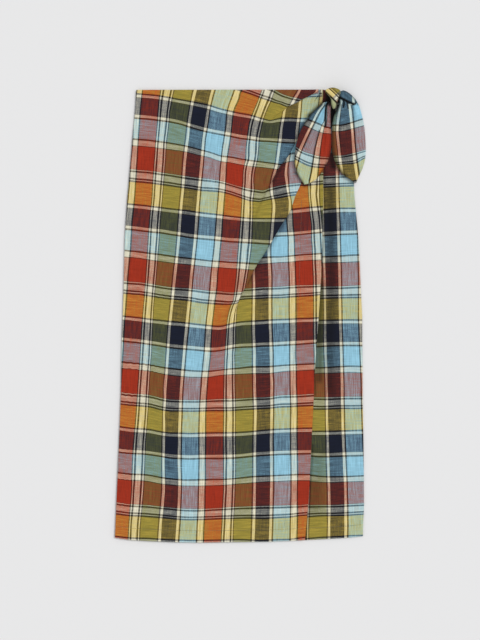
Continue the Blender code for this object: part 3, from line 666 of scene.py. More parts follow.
# The band of the knot. Its outline in the photograph: row, left column, right column
BAND_EDGES = [
    (88, 328.0, 337.0), (90, 325.4, 339.4), (92, 325.4, 340.4), (95, 327.4, 339.9), (98, 329.4, 338.8),
    (101, 330.5, 337.6), (104, 330.5, 336.8), (107, 331.0, 336.0), (110, 332.0, 335.0),
]
BAND_HALF_LENGTH = 0.0192
BAND_HALF_HEIGHT = 0.0128
BAND_WALL = 0.0022
BAND_ROW = 98.8
BAND_STEPS = 150
BAND_CROSS_STEPS = 40
BAND_CROWN = 0.0030
BAND_FOLDS = [
    (-0.0016, 0.8, [(326.0, 93.6), (330.0, 97.6), (334.0, 101.6), (338.0, 105.6)]),
    (-0.0010, 0.8, [(328.0, 88.6), (332.2, 92.8), (336.4, 97.0), (339.6, 100.2)]),
    (-0.0008, 0.8, [(333.6, 88.6), (336.6, 90.8), (340.0, 93.6)]),
]
# How fast the band's small folds rise and fall
BAND_FOLD_FADE = 0.1
# The stripes over the band: where the gold begins, stripe numbers for a pixel, the fold below the cream
# stripe, and where that stripe starts and ends
BAND_CORNER = (334.8, 92.2)
BAND_PITCH = 1.45
BAND_LOWER_FOLD = -7.2
BAND_CREAM_START = 3.0
BAND_CREAM_END = 7.0


def place(column, row):
    """The plan position of a point of the photograph."""
    return Vector(((column - CENTRE_COLUMN) * PIXEL, (CENTRE_ROW - row) * PIXEL, 0.0))


def in_photo(point):
    """The column and row of a plan position."""
    return point.x / PIXEL + CENTRE_COLUMN, CENTRE_ROW - point.y / PIXEL


def smoothstep(value):
    value = min(1.0, max(0.0, value))
    return value * value * (3.0 - 2.0 * value)


def read_table(table, key):
    """The remaining columns of a table at a key, with straight steps between its rows."""
    if key <= table[0][0]:
        return table[0][1:]
    for low, high in zip(table, table[1:]):
        if key <= high[0]:
            share = (key - low[0]) / (high[0] - low[0])
            return tuple(a + (b - a) * share for a, b in zip(low[1:], high[1:]))
    return table[-1][1:]


def spline(points, share):
    """A point on the smooth curve through a list of tuples, share 0 to 1 counted in list steps."""
    last = len(points) - 1
    step = min(int(share * last), last - 1)
    t = share * last - step
    before, start, end, after = (points[min(max(step + k, 0), last)] for k in (-1, 0, 1, 2))
    return tuple(
        0.5 * (2 * b + (c - a) * t + (2 * a - 5 * b + 4 * c - d) * t * t + (3 * b - a - 3 * c + d) * t ** 3)
        for a, b, c, d in zip(before, start, end, after)
    )


def run_lengths(path):
    """The length along a path up to each of its points."""
    run = [0.0]
    for before, after in zip(path, path[1:]):
        run.append(run[-1] + (after - before).length)
    return run


class Line:
    """A smooth plan curve through points of the photograph, read by its share of length."""

    SAMPLES = 600
    BEFORE = 9
    AFTER = 10

    def __init__(self, points):
        self.path = [place(*spline(points, k / self.SAMPLES)) for k in range(self.SAMPLES + 1)]
        self.run = run_lengths(self.path)

    def at(self, share):
        """Position, and the direction square to the line that points toward the free edge."""
        goal = min(1.0, max(0.0, share)) * self.run[-1]
        k = int(np.searchsorted(self.run, goal)) - 1
        k = min(max(k, 0), self.SAMPLES - 1)
        span = self.run[k + 1] - self.run[k]
        point = self.path[k].lerp(self.path[k + 1], (goal - self.run[k]) / span)
        first = self.path[max(k - self.BEFORE, 0)]
        second = self.path[min(k + self.AFTER, self.SAMPLES)]
        along = (second - first).normalized()
        return point, Vector((-along.y, along.x, 0.0))


class Stripes:
    """A smooth map from a place in the photograph to a stripe number, through the places that were read."""

    STIFFNESS = 1.5
    NO_GAP = 1e-9

    def __init__(self, readings):
        self.places = np.array([(column, row) for _, column, row in readings], float)
        values = np.array([value for value, _, _ in readings], float)
        count = len(values)
        system = np.zeros((count + 3, count + 3))
        system[:count, :count] = self.bend(self.places) + self.STIFFNESS * np.eye(count)
        system[:count, count:] = np.column_stack([np.ones(count), self.places])
        system[count:, :count] = system[:count, count:].T
        self.weights = np.linalg.solve(system, np.concatenate([values, np.zeros(3)]))

    def bend(self, places):
        gap = ((places[:, None, :] - self.places[None, :, :]) ** 2).sum(axis=2)
        return 0.5 * gap * np.log(np.maximum(gap, self.NO_GAP))

    def at(self, places):
        places = np.asarray(places, float)
        flat = np.column_stack([np.ones(len(places)), places])
        return self.bend(places) @ self.weights[:-3] + flat @ self.weights[-3:]


def warp_numbers(first):
    """The numbers of a warp stripe edge and of the ones after it, without end."""
    names = list(WARP_EDGE)
    for k in itertools.count(names.index(first[0])):
        yield WARP_EDGE[names[k % len(names)]] + WARP_REPEAT * (int(first[1:]) + k // len(names))


def warp_marks(readings, part):
    """Stripe numbers with the columns and rows where they were read, for one part."""
    marks = []
    for parts, row, first, text in readings:
        if part in parts:
            for number, column in zip(warp_numbers(first), text.split()):
                if column != "-":
                    marks.append((number, float(column), row))
    return marks


def weft_marks(readings, part):
    """Stripe numbers with the columns and rows where they were read, for one part."""
    marks = []
    for parts, name, first, text in readings:
        if part in parts:
            number = WEFT_EDGE[name[0]] + WEFT_REPEAT * int(name[1:])
            for k, row in enumerate(text.split()):
                marks.append((number, first + WEFT_STEP * k, float(row)))
    return marks


def stripe_marks(stripes):
    """Stripe numbers with the columns and rows of the points along each stripe."""
    return [(value, column, row) for value, points in stripes for column, row in points]


class Check:
    """Warp and weft stripe numbers of one flat stretch of cloth."""

    def __init__(self, warp, weft):
        self.warp = Stripes(warp)
        self.weft = Stripes(weft)

    def at(self, places):
        return np.column_stack([self.warp.at(places) / WARP_REPEAT, self.weft.at(places) / WEFT_REPEAT])


def crease_height(column, row, creases, rise, fall):
    """Height of soft ridges and troughs that fade out toward both ends of their paths."""
    total = 0.0
    for height, half_width, path in creases:
        best = None
        length = len(path) - 1
        for k, ((ax, ay), (bx, by)) in enumerate(zip(path, path[1:])):
            dx, dy = bx - ax, by - ay
            share = min(1.0, max(0.0, ((column - ax) * dx + (row - ay) * dy) / (dx * dx + dy * dy)))
            away = math.hypot(column - ax - dx * share, row - ay - dy * share)
            if best is None or away < best[0]:
                best = (away, (k + share) / length)
        away, along = best
        taper = smoothstep(along / rise) * smoothstep((1 - along) / fall)
        total += height * taper * math.exp(-((away / half_width) ** 2))
    return total


def border(rows, columns):
    """The points round the edge of a grid, in order, each as its row and column."""
    loop = [(0, j) for j in range(columns)] + [(i, columns - 1) for i in range(1, rows)]
    loop += [(rows - 1, j) for j in range(columns - 2, -1, -1)] + [(i, 0) for i in range(rows - 2, 0, -1)]
    return loop


def layer_faces(rows, columns):
    """Faces of an upper and a lower grid of points, without what joins them round the edge."""
    count = rows * columns
    faces = []
    for i in range(rows - 1):
        for j in range(columns - 1):
            a = i * columns + j
            b, c, d = a + 1, a + 1 + columns, a + columns
            faces.append((a, b, c, d))
            faces.append((count + a, count + d, count + c, count + b))
    return faces


def build_shell(name, middle, normals, uv, shade):
    """A closed shell of cloth around a grid of middle points, with a rounded rim and its stripe numbers."""
    rows, columns = len(middle), len(middle[0])
    points, stripes = [], []
    for side in (1, -1):
        for i in range(rows):
            for j in range(columns):
                points.append(middle[i][j] + normals[i][j] * (SHELL / 2 * side))
                stripes.append(uv[i][j])
    loop = border(rows, columns)
    rim = {}
    for i, j in loop:
        inner = middle[min(max(i, 1), rows - 2)][min(max(j, 1), columns - 2)]
        out = (middle[i][j] - inner).normalized()
        rim[(i, j)] = len(points)
        points.append(middle[i][j] + out * (SHELL * RIM_BULGE))
        stripes.append(uv[i][j])
    count = rows * columns
    faces = layer_faces(rows, columns)
    for (i, j), (k, m) in zip(loop, loop[1:] + loop[:1]):
        a, b = i * columns + j, k * columns + m
        faces.append((b, a, rim[(i, j)], rim[(k, m)]))
        faces.append((rim[(k, m)], rim[(i, j)], count + a, count + b))
    return add_piece(name, points, faces, stripes, shade)


def build_two_sided(name, top, bottom, uv, shade):
    """A closed piece between an upper and a lower grid of points that meet round the edge."""
    rows, columns = len(top), len(top[0])
    points = [p for grid in (top, bottom) for row in grid for p in row]
    stripes = [number for _ in range(2) for row in uv for number in row]
    count = rows * columns
    faces = layer_faces(rows, columns)
    loop = border(rows, columns)
    for (i, j), (k, m) in zip(loop, loop[1:] + loop[:1]):
        a, b = i * columns + j, k * columns + m
        faces.append((b, a, count + a, count + b))
    return add_piece(name, points, faces, stripes, shade)


def shade_folds(mesh, folds):
    """Keeps painted shade on each point of the cloth: a light value that its colour is multiplied by, low in
    the depth of tight folds.
    """
    points = np.empty(len(mesh.vertices) * 3)
    mesh.vertices.foreach_get("co", points)
    column = points[0::3] / PIXEL + CENTRE_COLUMN
    row = CENTRE_ROW - points[1::3] / PIXEL
    light = np.ones(len(column))
    for amount, half_width, path in folds:
        away = np.full(len(column), np.inf)
        for (ax, ay), (bx, by) in zip(path, path[1:]):
            dx, dy = bx - ax, by - ay
            share = np.clip(((column - ax) * dx + (row - ay) * dy) / (dx * dx + dy * dy), 0.0, 1.0)
            away = np.minimum(away, np.hypot(column - ax - dx * share, row - ay - dy * share))
        light *= 1 - amount * np.exp(-((away / half_width) ** 2))
    layer = mesh.attributes.new("light", "FLOAT", "POINT")
    layer.data.foreach_set("value", light)


def add_piece(name, points, faces, stripes, shade):
    """A smooth object of the scene that keeps its stripe numbers and its painted shade."""
    mesh = bpy.data.meshes.new(name)
    mesh.from_pydata([tuple(p) for p in points], [], faces)
    mesh.update()
    if signed_volume(mesh) < 0.0:
        mesh.flip_normals()
    layer = mesh.uv_layers.new(name="Check")
    numbers = np.array(stripes, float)
    corners = np.empty(len(mesh.loops), int)
    mesh.loops.foreach_get("vertex_index", corners)
    layer.data.foreach_set("uv", numbers[corners].ravel())
    mesh.shade_smooth()
    shade_folds(mesh, shade)
    piece = bpy.data.objects.new(name, mesh)
    bpy.context.scene.collection.objects.link(piece)
    return piece


def signed_volume(mesh):
    """The volume inside a closed mesh, below zero where its faces look inward."""
    points = np.empty(len(mesh.vertices) * 3)
    mesh.vertices.foreach_get("co", points)
    points = points.reshape(-1, 3)
    mesh.calc_loop_triangles()
    corners = np.empty(len(mesh.loop_triangles) * 3, int)
    mesh.loop_triangles.foreach_get("vertices", corners)
    a, b, c = points[corners.reshape(-1, 3)].transpose(1, 0, 2)
    return float(np.einsum("ij,ij->i", a, np.cross(b, c)).sum() / 6)


def surface_normals(grid):
    """Upward directions of a grid of points."""
    points = np.array([[tuple(p) for p in row] for row in grid])
    along = np.gradient(points, axis=0)
    across = np.gradient(points, axis=1)
    normal = np.cross(across, along)
    normal *= np.where(normal[..., 2:3] < 0, -1.0, 1.0)
    normal /= np.linalg.norm(normal, axis=2, keepdims=True)
    return [[Vector(n) for n in row] for row in normal]


def hem_row(column):
    return read_table(HEM, column)[0]


def side_column(side, row):
    return read_table(side, row)[0]


def turning(distance, width):
    """Rise of a turned edge: full inside its width, gone just past its stitching."""
    return TURNING_RISE * (1 - smoothstep((distance - width) / TURNING_FADE))


def with_rim(shares, length):
    """Adds a share close to each end, so that a rim stays crisp."""
    inset = RIM_INSET / length
    return [shares[0], shares[0] + inset] + shares[1:-1] + [shares[-1] - inset, shares[-1]]


# The wrap


def bend(openness, overlap, room):
    """Section of a fold from its upper layer to its lower one, and the width that must stay flat."""
    radius, angle, leg = read_table(FOLD_SHAPES, openness)
    angle = math.radians(angle)
    if openness > SOFT_OPENNESS:
        full = 2 * radius * math.sin(angle) + leg * math.cos(angle)
        fit = min(1.0, SOFT_ROOM * room / full)
        radius, leg = radius * fit, leg * fit
    leg += overlap
    drop = 2 * radius * (1 - math.cos(angle)) + leg * math.sin(angle)
    reach = 2 * radius * math.sin(angle) + leg * math.cos(angle)
    turns = [angle * k / ARC_STEPS for k in range(ARC_STEPS + 1)]
    upper = [(radius * math.sin(a), drop - radius + radius * math.cos(a), a) for a in turns]
    lower = [(reach - radius * math.sin(a), radius - radius * math.cos(a), a) for a in reversed(turns)]
    return upper + lower, leg + FLAT_RADII * radius


def knot_rise(distance):
    return KNOT_LIFT * (1 - smoothstep(distance / KNOT_REACH))


def closedness(openness):
    """1 where a fold hides cloth, 0 where it has opened out and the check runs on across it."""
    return 1 - smoothstep((openness - CLOSED_OPENNESS) / OPENING)


def edge_share(share):
    """0 along most of the lines, rising to 1 at the hem, where the lines end on the real outline."""
    return smoothstep((share - EDGE_START) / (1 - EDGE_START))


def fold_points(point, across, section, falls):
    """The points of a fold from the waist side to the free edge's side. They have no shares of a check."""
    side = 1 if falls else -1
    body = []
    for offset, height, turn in section:
        normal = across * (side * math.sin(turn)) + Vector((0, 0, math.cos(turn)))
        body.append((point + across * (side * offset), height, normal, None))
    return body if falls else body[::-1]


def wrap_row(lines, share):
    """One row of the wrap: plan point, height, wall direction, and shares of the four parts' checks.

    Points inside a fold have no shares: their check is spread evenly between its two ends.
    """
    marks = [line.at(share) for line in lines]
    folds = [k for k, entry in enumerate(WRAP_LINES) if entry[1]]
    ends = [0] + folds + [len(WRAP_LINES) - 1]
    points = []
    stretch = []
    start = (0.0, 0.0, 1.0)
    part = 0
    for k, (_, tuck, falls, steps) in enumerate(WRAP_LINES):
        point, across = marks[k]
        if tuck:
            chord = (marks[k + 1][0] - marks[k - 1][0]).normalized()
            across = across.lerp(chord, edge_share(share)).normalized()
            upper_end = ends[ends.index(k) + (-1 if falls else 1)]
            openness, overlap = read_table(tuck, share)
            overlap = min(overlap, OVERLAP_ROOM * (marks[upper_end][0] - point).length)
            room = min((marks[n][0] - point).length for n in (k - 1, k + 1))
            section, keep = bend(openness, overlap, room)
            body = fold_points(point, across, section, falls)
            stretch.append((body[0][0], WRAP_LINES[k - 1][3]))
            closed = 1.0 if share < KNOT_SHARE else closedness(openness)
            points.extend(laid(stretch, start, (body[0][1], keep, closed), part, True))
            points.extend(body[1:-1])
            start = (body[-1][1], keep, closed)
            stretch = [(body[-1][0], 0)]
            part += 1
        else:
            stretch.append((point, WRAP_LINES[k - 1][3] if k else 0))
    points.extend(laid(stretch, start, (0.0, 0.0, 1.0), part, False))
    return points


def rim_spot(edge, inner):
    """A point close to the cloth's edge, so that its rim stays crisp."""
    inward = inner - edge
    return edge + inward.normalized() * min(RIM_INSET, inward.length / 2)


def laid(stretch, start, end, part, ends_in_fold):
    """Points along the cloth between two folds.

    The height of each end dies away past its fold. In every part but the first it is gone by the other end.
    """
    spots = [stretch[0][0]]
    for (before, _), (after, steps) in zip(stretch, stretch[1:]):
        spots.extend(before.lerp(after, n / (steps + 1)) for n in range(1, steps + 2))
    if part == 0:
        spots.insert(1, rim_spot(spots[0], spots[1]))
    if part == len(PARTS) - 1:
        spots.insert(-1, rim_spot(spots[-1], spots[-2]))
    run = run_lengths(spots)
    span = run[-1]
    made = []
    for spot, distance in zip(spots, run):
        height = 0.0
        shares = [0.0] * len(PARTS)
        shares[part] = 1.0
        ends = ((start, distance, part - 1), (end, span - distance, part + 1))
        for (level, keep, closed), gone, neighbour in ends:
            reach = RELIEF_REACH
            if ends_in_fold and start[1]:
                reach = min(reach, max(span - keep, CLOTH))
            if part:
                level *= smoothstep((span - gone) / min(RELIEF_REACH, span))
            height = max(height, level * (1 - smoothstep((gone - keep) / reach)))
            if closed < 1 and 0 <= neighbour < len(PARTS):
                shared = 0.5 * (1 - closed) * (1 - smoothstep(gone / BLEND_REACH))
                shares[neighbour] += shared
                shares[part] -= shared
        made.append((spot, height, Vector((0, 0, 1)), shares))
    return made


def outline_shift(column, row):
    """How far the drawn end of a row lies from the real outline, in pixels."""
    if row > hem_row(column) - HEM_NEAR:
        return 0.0, hem_row(column) - row
    return side_column(LEFT_SIDE, row) - column, 0.0


def by_the_knot(column, row):
    """1 beside the knot, where only the left cloth shows, and 0 away from it."""
    away = math.hypot(column - KNOT_SPOT[0], row - KNOT_SPOT[1])
    return 1 - smoothstep((away - KNOT_NEAR) / (KNOT_FAR - KNOT_NEAR))


def wrap_values(places, checks):
    """Stripe numbers by each part's check. Beside the knot the left cloth's check takes over."""
    values = [check.at(places) for check in checks]
    close = np.array([by_the_knot(*spot) for spot in places])[:, None]
    beside = close[:, 0] > 0.5
    left = values[1]
    navy_weft_zone = beside & (places[:, 0] > NAVY_WEFT_COLUMN)
    left[:, 1] = np.where(navy_weft_zone, NAVY_WEFT, left[:, 1])
    past_flap = beside & (places[:, 0] > FLAP_END_COLUMN)
    values[0] = np.where(past_flap[:, None], left, values[0])
    values[2:] = [value * (1 - close) + left * close for value in values[2:]]
    return values


def over_panel():
    """The left front: gathered at the knot, folded below it and open at the hem."""
    lines = [Line(points) for points, _, _, _ in WRAP_LINES]
    longest = max(line.run[-1] for line in lines)
    shares = with_rim([(i / WRAP_ROWS) ** WRAP_ROW_POWER for i in range(WRAP_ROWS + 1)], longest)
    rows = [wrap_row(lines, share) for share in shares]
    shifts = [outline_shift(*in_photo(point)) for point, _, _, _ in rows[-1]]
    checks = [Check(warp_marks(WARP_READINGS, part), weft_marks(WEFT_READINGS, part)) for part in PARTS]
    middle, normals, numbers = [], [], []
    for share, row in zip(shares, rows):
        fade = edge_share(share)
        lift = knot_rise(longest * share)
        middle_row = []
        for (point, height, _, _), (shift_column, shift_row) in zip(row, shifts):
            spot = point + Vector((shift_column, -shift_row, 0.0)) * (PIXEL * fade)
            column, line = in_photo(spot)
            soft = max(crease_height(column, line, CREASES, CREASE_RISE, CREASE_FALL), DEEPEST_TROUGH)
            height += soft * smoothstep((share - CREASE_START) / CREASE_START_FADE)
            height += turning((hem_row(column) - line) * PIXEL, HEM_TURNING)
            middle_row.append(spot + Vector((0, 0, LAID_HEIGHT + height + lift)))
        middle.append(middle_row)
        normals.append([entry[2] for entry in row])
        values = wrap_values(np.array([in_photo(point) for point in middle_row]), checks)
        numbers.append(row_numbers(row, middle_row, values))
    return build_shell("over_cloth", middle, normals, numbers, OVER_SHADE)


def row_numbers(row, spots, values):
    """Stripe numbers along one row of the wrap."""
    found = []
    for j, (_, _, _, shares) in enumerate(row):
        if shares is None:
            found.append(None)
        else:
            found.append(sum(share * value[j] for share, value in zip(shares, values)))
    j = 0
    while j < len(found):
        if found[j] is not None:
            j += 1
            continue
        end = j
        while found[end] is None:
            end += 1
        run = run_lengths(spots[j - 1:end + 1])
        for k in range(j, end):
            share = run[k - j + 1] / run[-1]
            found[k] = found[j - 1] * (1 - share) + found[end] * share
        j = end
    return found


# The panels below


def panel_wave(column, row, cross, height):
    """Soft unevenness of a panel, which ends at its sides."""
    across = height * math.sin(column * WAVE_ACROSS + WAVE_START)
    return across * math.sin(row * WAVE_DOWN) * math.sin(math.pi * cross)


def flat_shell(name, level, top_row, left, check, size, wave, shade):
    """A panel that lies flat from its own left side to the skirt's right side."""
    rows, columns = size
    middle_column = (HEM[0][0] + HEM[-1][0]) / 2
    shares = with_rim([k / rows for k in range(rows + 1)], PANEL_LENGTH)
    crosses = with_rim([k / columns for k in range(columns + 1)], PANEL_WIDTH)
    grid = []
    for share in shares:
        middle = top_row + (hem_row(middle_column) - top_row) * share
        start, end = left(middle), side_column(RIGHT_SIDE, middle)
        line = []
        for cross in crosses:
            column = start + (end - start) * cross
            row = top_row + (hem_row(column) - top_row) * share
            height = level + panel_wave(column, row, cross, wave)
            height += turning((hem_row(column) - row) * PIXEL, HEM_TURNING)
            line.append(place(column, row) + Vector((0, 0, height)))
        grid.append(line)
    numbers = [check(np.array([in_photo(p) for p in line])) for line in grid]
    return build_shell(name, grid, surface_normals(grid), numbers, shade)


def under_panel():
    """The right front, which ends below the wrap before it reaches the left side."""
    def left(row):
        return side_column(LEFT_SIDE, row) + SIDE_INSET + UNDER_INSET / PIXEL

    readings = Check(warp_marks(UNDER_WARP, "U"), weft_marks(UNDER_WEFT, "U"))
    top_row = WAIST_ROW + UNDER_DROP
    return flat_shell(
        "under_cloth", UNDER_HEIGHT, top_row, left, readings.at, UNDER_GRID, WAVE_HEIGHT, UNDER_SHADE,
    )


def back_panel():
    """The back, whose check is plain and straight, because the photograph doesn't show it."""
    def left(row):
        return side_column(LEFT_SIDE, row) + SIDE_INSET

    def check(places):
        return (places - np.array(BACK_CHECK_CORNER)) / np.array([WARP_REPEAT, WEFT_REPEAT])

    return flat_shell("back_cloth", CLOTH / 2, WAIST_ROW + BACK_DROP, left, check, BACK_GRID, 0.0, [])


# The knot


class Ground:
    """Height of what lies under a point, read from finished pieces."""

    SKY = 0.2

    def __init__(self, pieces):
        self.trees = []
        for piece in pieces:
            mesh = piece.data
            faces = [tuple(face.vertices) for face in mesh.polygons]
            self.trees.append(BVHTree.FromPolygons([v.co for v in mesh.vertices], faces))

    def height(self, x, y):
        best = 0.0
        for tree in self.trees:
            hit = tree.ray_cast(Vector((x, y, self.SKY)), Vector((0, 0, -1)))[0]
            if hit is not None:
                best = max(best, hit.z)
        return best

    def highest(self, x, y, reach):
        steps = (-1.0, -0.5, 0.0, 0.5, 1.0)
        return max(self.height(x + dx * reach, y + dy * reach) for dx in steps for dy in steps)


class TailCheck:
    """Stripe numbers of a tie end, whose warp stripes bunch up in its folds."""

    def __init__(self, warp, weft, slant):
        self.slant = slant
        self.numbers = warp[0]
        self.rows = warp[1:]
        self.weft = Stripes(stripe_marks(weft))

    def at(self, places):
        warp = []
        for column, row in places:
            slanted = 1 - smoothstep((row - SLANT_ROW) / SLANT_FADE)
            key = row - self.slant * (column - SLANT_COLUMN) * slanted
            warp.append(np.interp(column, read_table(self.rows, key), self.numbers))
        weft = np.maximum(self.weft.at(places), TAIL_FIRST_WEFT)
        return np.column_stack([np.array(warp) / WARP_REPEAT, weft / WEFT_REPEAT])


def tie_end(name, table, pleats, folds, shade, check, below):
    """A leaf of doubled cloth that lies on the panels and rises into the knot."""
    shares = with_rim([k / TAIL_ROWS for k in range(TAIL_ROWS + 1)], TIE_LENGTH)
    crosses = [0.5 - 0.5 * math.cos(math.pi * k / TAIL_COLUMNS) for k in range(TAIL_COLUMNS + 1)]
    top, bottom, numbers = [], [], []
    for share in shares:
        left_column, left_row, right_column, right_row, lift = spline(table, share)
        left, right = place(left_column, left_row), place(right_column, right_row)
        lower_row = []
        for cross in crosses:
            point = left.lerp(right, cross)
            base = below.highest(point.x, point.y, TAIL_SAMPLE) + GAP + max(lift, 0.0)
            lower_row.append(Vector((point.x, point.y, base)))
        bottom.append(lower_row)
    smooth_rows(bottom)
    for share, lower_row in zip(shares, bottom):
        upper_row = []
        for cross, point in zip(crosses, lower_row):
            relief = TAIL_CROWN
            for centre, height, width, fade in pleats:
                ridge = max(0.0, 1 - abs(cross - centre) / width)
                relief += height * smoothstep(ridge) * (1 - smoothstep(share / fade))
            relief *= max(0.0, 1 - abs(2 * cross - 1) ** TAIL_EDGE_POWER)
            relief += crease_height(*in_photo(point), folds, TAIL_FOLD_RISE, TAIL_FOLD_FALL)
            relief = max(relief, 0.0)
            upper_row.append(point + Vector((0, 0, SHELL + relief)))
        top.append(upper_row)
        numbers.append(check.at(np.array([in_photo(p) for p in upper_row])))
    return build_two_sided(name, top, bottom, numbers, shade)


def smooth_rows(grid):
    """Evens out heights that were read from the stepped ground."""
    heights = np.array([[p.z for p in row] for row in grid])
    for _ in range(TAIL_SMOOTHINGS):
        soft = heights.copy()
        soft[1:-1] = (heights[:-2] + 2 * heights[1:-1] + heights[2:]) / 4
        soft[:, 1:-1] = (soft[:, :-2] + 2 * soft[:, 1:-1] + soft[:, 2:]) / 4
        heights = soft
    for row, line in zip(grid, heights):
        for point, height in zip(row, line):
            point.z = height


def band_numbers(column, row):
    """Stripe numbers over the knot, whose stripes run slantwise down to the right."""
    right, down = column - BAND_CORNER[0], row - BAND_CORNER[1]
    across = (right - down) / math.sqrt(2)
    along = (right + down) / math.sqrt(2)
    if across < BAND_LOWER_FOLD:
        return 0.5 * (WARP_EDGE["B"] + WARP_EDGE["m"]) / WARP_REPEAT, 0.5 * WEFT_EDGE["a"] / WEFT_REPEAT
    warp = WARP_REPEAT + BAND_PITCH * across
    if along < BAND_CREAM_START:
        weft = 0.5 * WEFT_EDGE["a"]
    else:
        left_over = (BAND_CREAM_END - along) / (BAND_CREAM_END - BAND_CREAM_START)
        weft = WEFT_EDGE["d"] + (WEFT_REPEAT - WEFT_EDGE["d"]) * left_over
    return warp / WARP_REPEAT, weft / WEFT_REPEAT


def band_faces():
    """Faces of an outer and an inner ring of points, closed along both of the band's edges."""
    columns = BAND_CROSS_STEPS + 1
    count = BAND_STEPS * columns
    end = BAND_CROSS_STEPS
    faces = []
    for i in range(BAND_STEPS):
        a, b = i * columns, (i + 1) % BAND_STEPS * columns
        for j in range(BAND_CROSS_STEPS):
            faces.append((a + j, a + j + 1, b + j + 1, b + j))
            faces.append((count + a + j, count + b + j, count + b + j + 1, count + a + j + 1))
        faces.append((a, b, count + b, count + a))
        faces.append((a + end, count + a + end, count + b + end, b + end))
    return faces


def knot_wrap(floor):
    """The band of cloth that goes once round the knot and narrows toward its lower end."""
    middle = floor + GAP + BAND_HALF_HEIGHT
    outer, inner, numbers = [], [], []
    for i in range(BAND_STEPS):
        turn = 2 * math.pi * i / BAND_STEPS
        outer_row, inner_row, number_row = [], [], []
        for j in range(BAND_CROSS_STEPS + 1):
            across = j / BAND_CROSS_STEPS
            row = BAND_ROW - (BAND_HALF_LENGTH - BAND_CROWN / 2) * math.cos(turn) / PIXEL
            first, last = read_table(BAND_EDGES, row)
            column = first + (last - first) * across
            crown = -BAND_CROWN * (2 * across - 1) ** 2
            if turn < math.pi:
                crown += crease_height(column, row, BAND_FOLDS, BAND_FOLD_FADE, BAND_FOLD_FADE)
            for depth, line in ((crown, outer_row), (crown - BAND_WALL, inner_row)):
                spot = place(column, BAND_ROW)
                y = spot.y + (BAND_HALF_LENGTH + depth) * math.cos(turn)
                z = middle + (BAND_HALF_HEIGHT + depth) * math.sin(turn)
                line.append(Vector((spot.x, y, z)))
            number_row.append(band_numbers(*in_photo(outer_row[-1])))
        outer.append(outer_row)
        inner.append(inner_row)
        numbers.append(number_row)
    points = [p for grid in (outer, inner) for row in grid for p in row]
    stripes = [number for _ in range(2) for row in numbers for number in row]
    return add_piece("knot_cloth", points, band_faces(), stripes, KNOT_SHADE)


def evenly(path, pitch):
    """Points at an even pitch along a path of plan positions, each with the direction there."""
    run = run_lengths(path)
    for k in range(int(run[-1] / pitch)):
        goal = (k + 0.5) * pitch
        step = min(int(np.searchsorted(run, goal)) - 1, len(path) - 2)
        before, after = path[step], path[step + 1]
        share = (goal - run[step]) / (run[step + 1] - run[step])
        yield before.lerp(after, share), (after - before).normalized()


def stitches(name, path, ground):
    """A row of machine stitches, each a short thread that dips into the cloth at both ends."""
    points, faces = [], []
    for middle, along in evenly(path, STITCH_PITCH):
        side = Vector((-along.y, along.x, 0.0))
        level = ground.height(middle.x, middle.y)
        first = len(points)
        for share in STITCH_RINGS:
            radius = THREAD_RADIUS * (math.sqrt(max(0.0, 1 - (2 * share) ** 2)) + THREAD_END)
            for k in range(STITCH_SIDES):
                turn = 2 * math.pi * k / STITCH_SIDES
                spot = middle + along * (share * STITCH_LENGTH) + side * (radius * math.cos(turn))
                points.append(Vector((spot.x, spot.y, level + radius * math.sin(turn))))
        for ring in range(len(STITCH_RINGS) - 1):
            for k in range(STITCH_SIDES):
                a = first + ring * STITCH_SIDES + k
                b = first + ring * STITCH_SIDES + (k + 1) % STITCH_SIDES
                faces.append((a, b, b + STITCH_SIDES, a + STITCH_SIDES))
        last = len(points) - STITCH_SIDES
        faces.append(tuple(range(first + STITCH_SIDES - 1, first - 1, -1)))
        faces.append(tuple(range(last, last + STITCH_SIDES)))
    return add_piece(name, points, faces, [(0.0, 0.0)] * len(points), [])


def hem_line(first, last):
    """The stitched line of a hem between two columns."""
    columns = [first + (last - first) * k / HEM_LINE_STEPS for k in range(HEM_LINE_STEPS + 1)]
    return [place(column, hem_row(column) - HEM_TURNING / PIXEL) for column in columns]


def edge_line():
    """The stitched line of the free edge, from below the tie end to the hem's stitching."""
    inset = EDGE_TURNING / PIXEL
    path = [
        place(column - inset, row)
        for column, row in FREE_EDGE
        if EDGE_STITCH_TOP < row < EDGE_STITCH_END
    ]
    end = FREE_EDGE[-1][0] - inset + EDGE_STITCH_SHIFT
    return path + [place(end, hem_row(end) - HEM_TURNING / PIXEL)]


# Materials


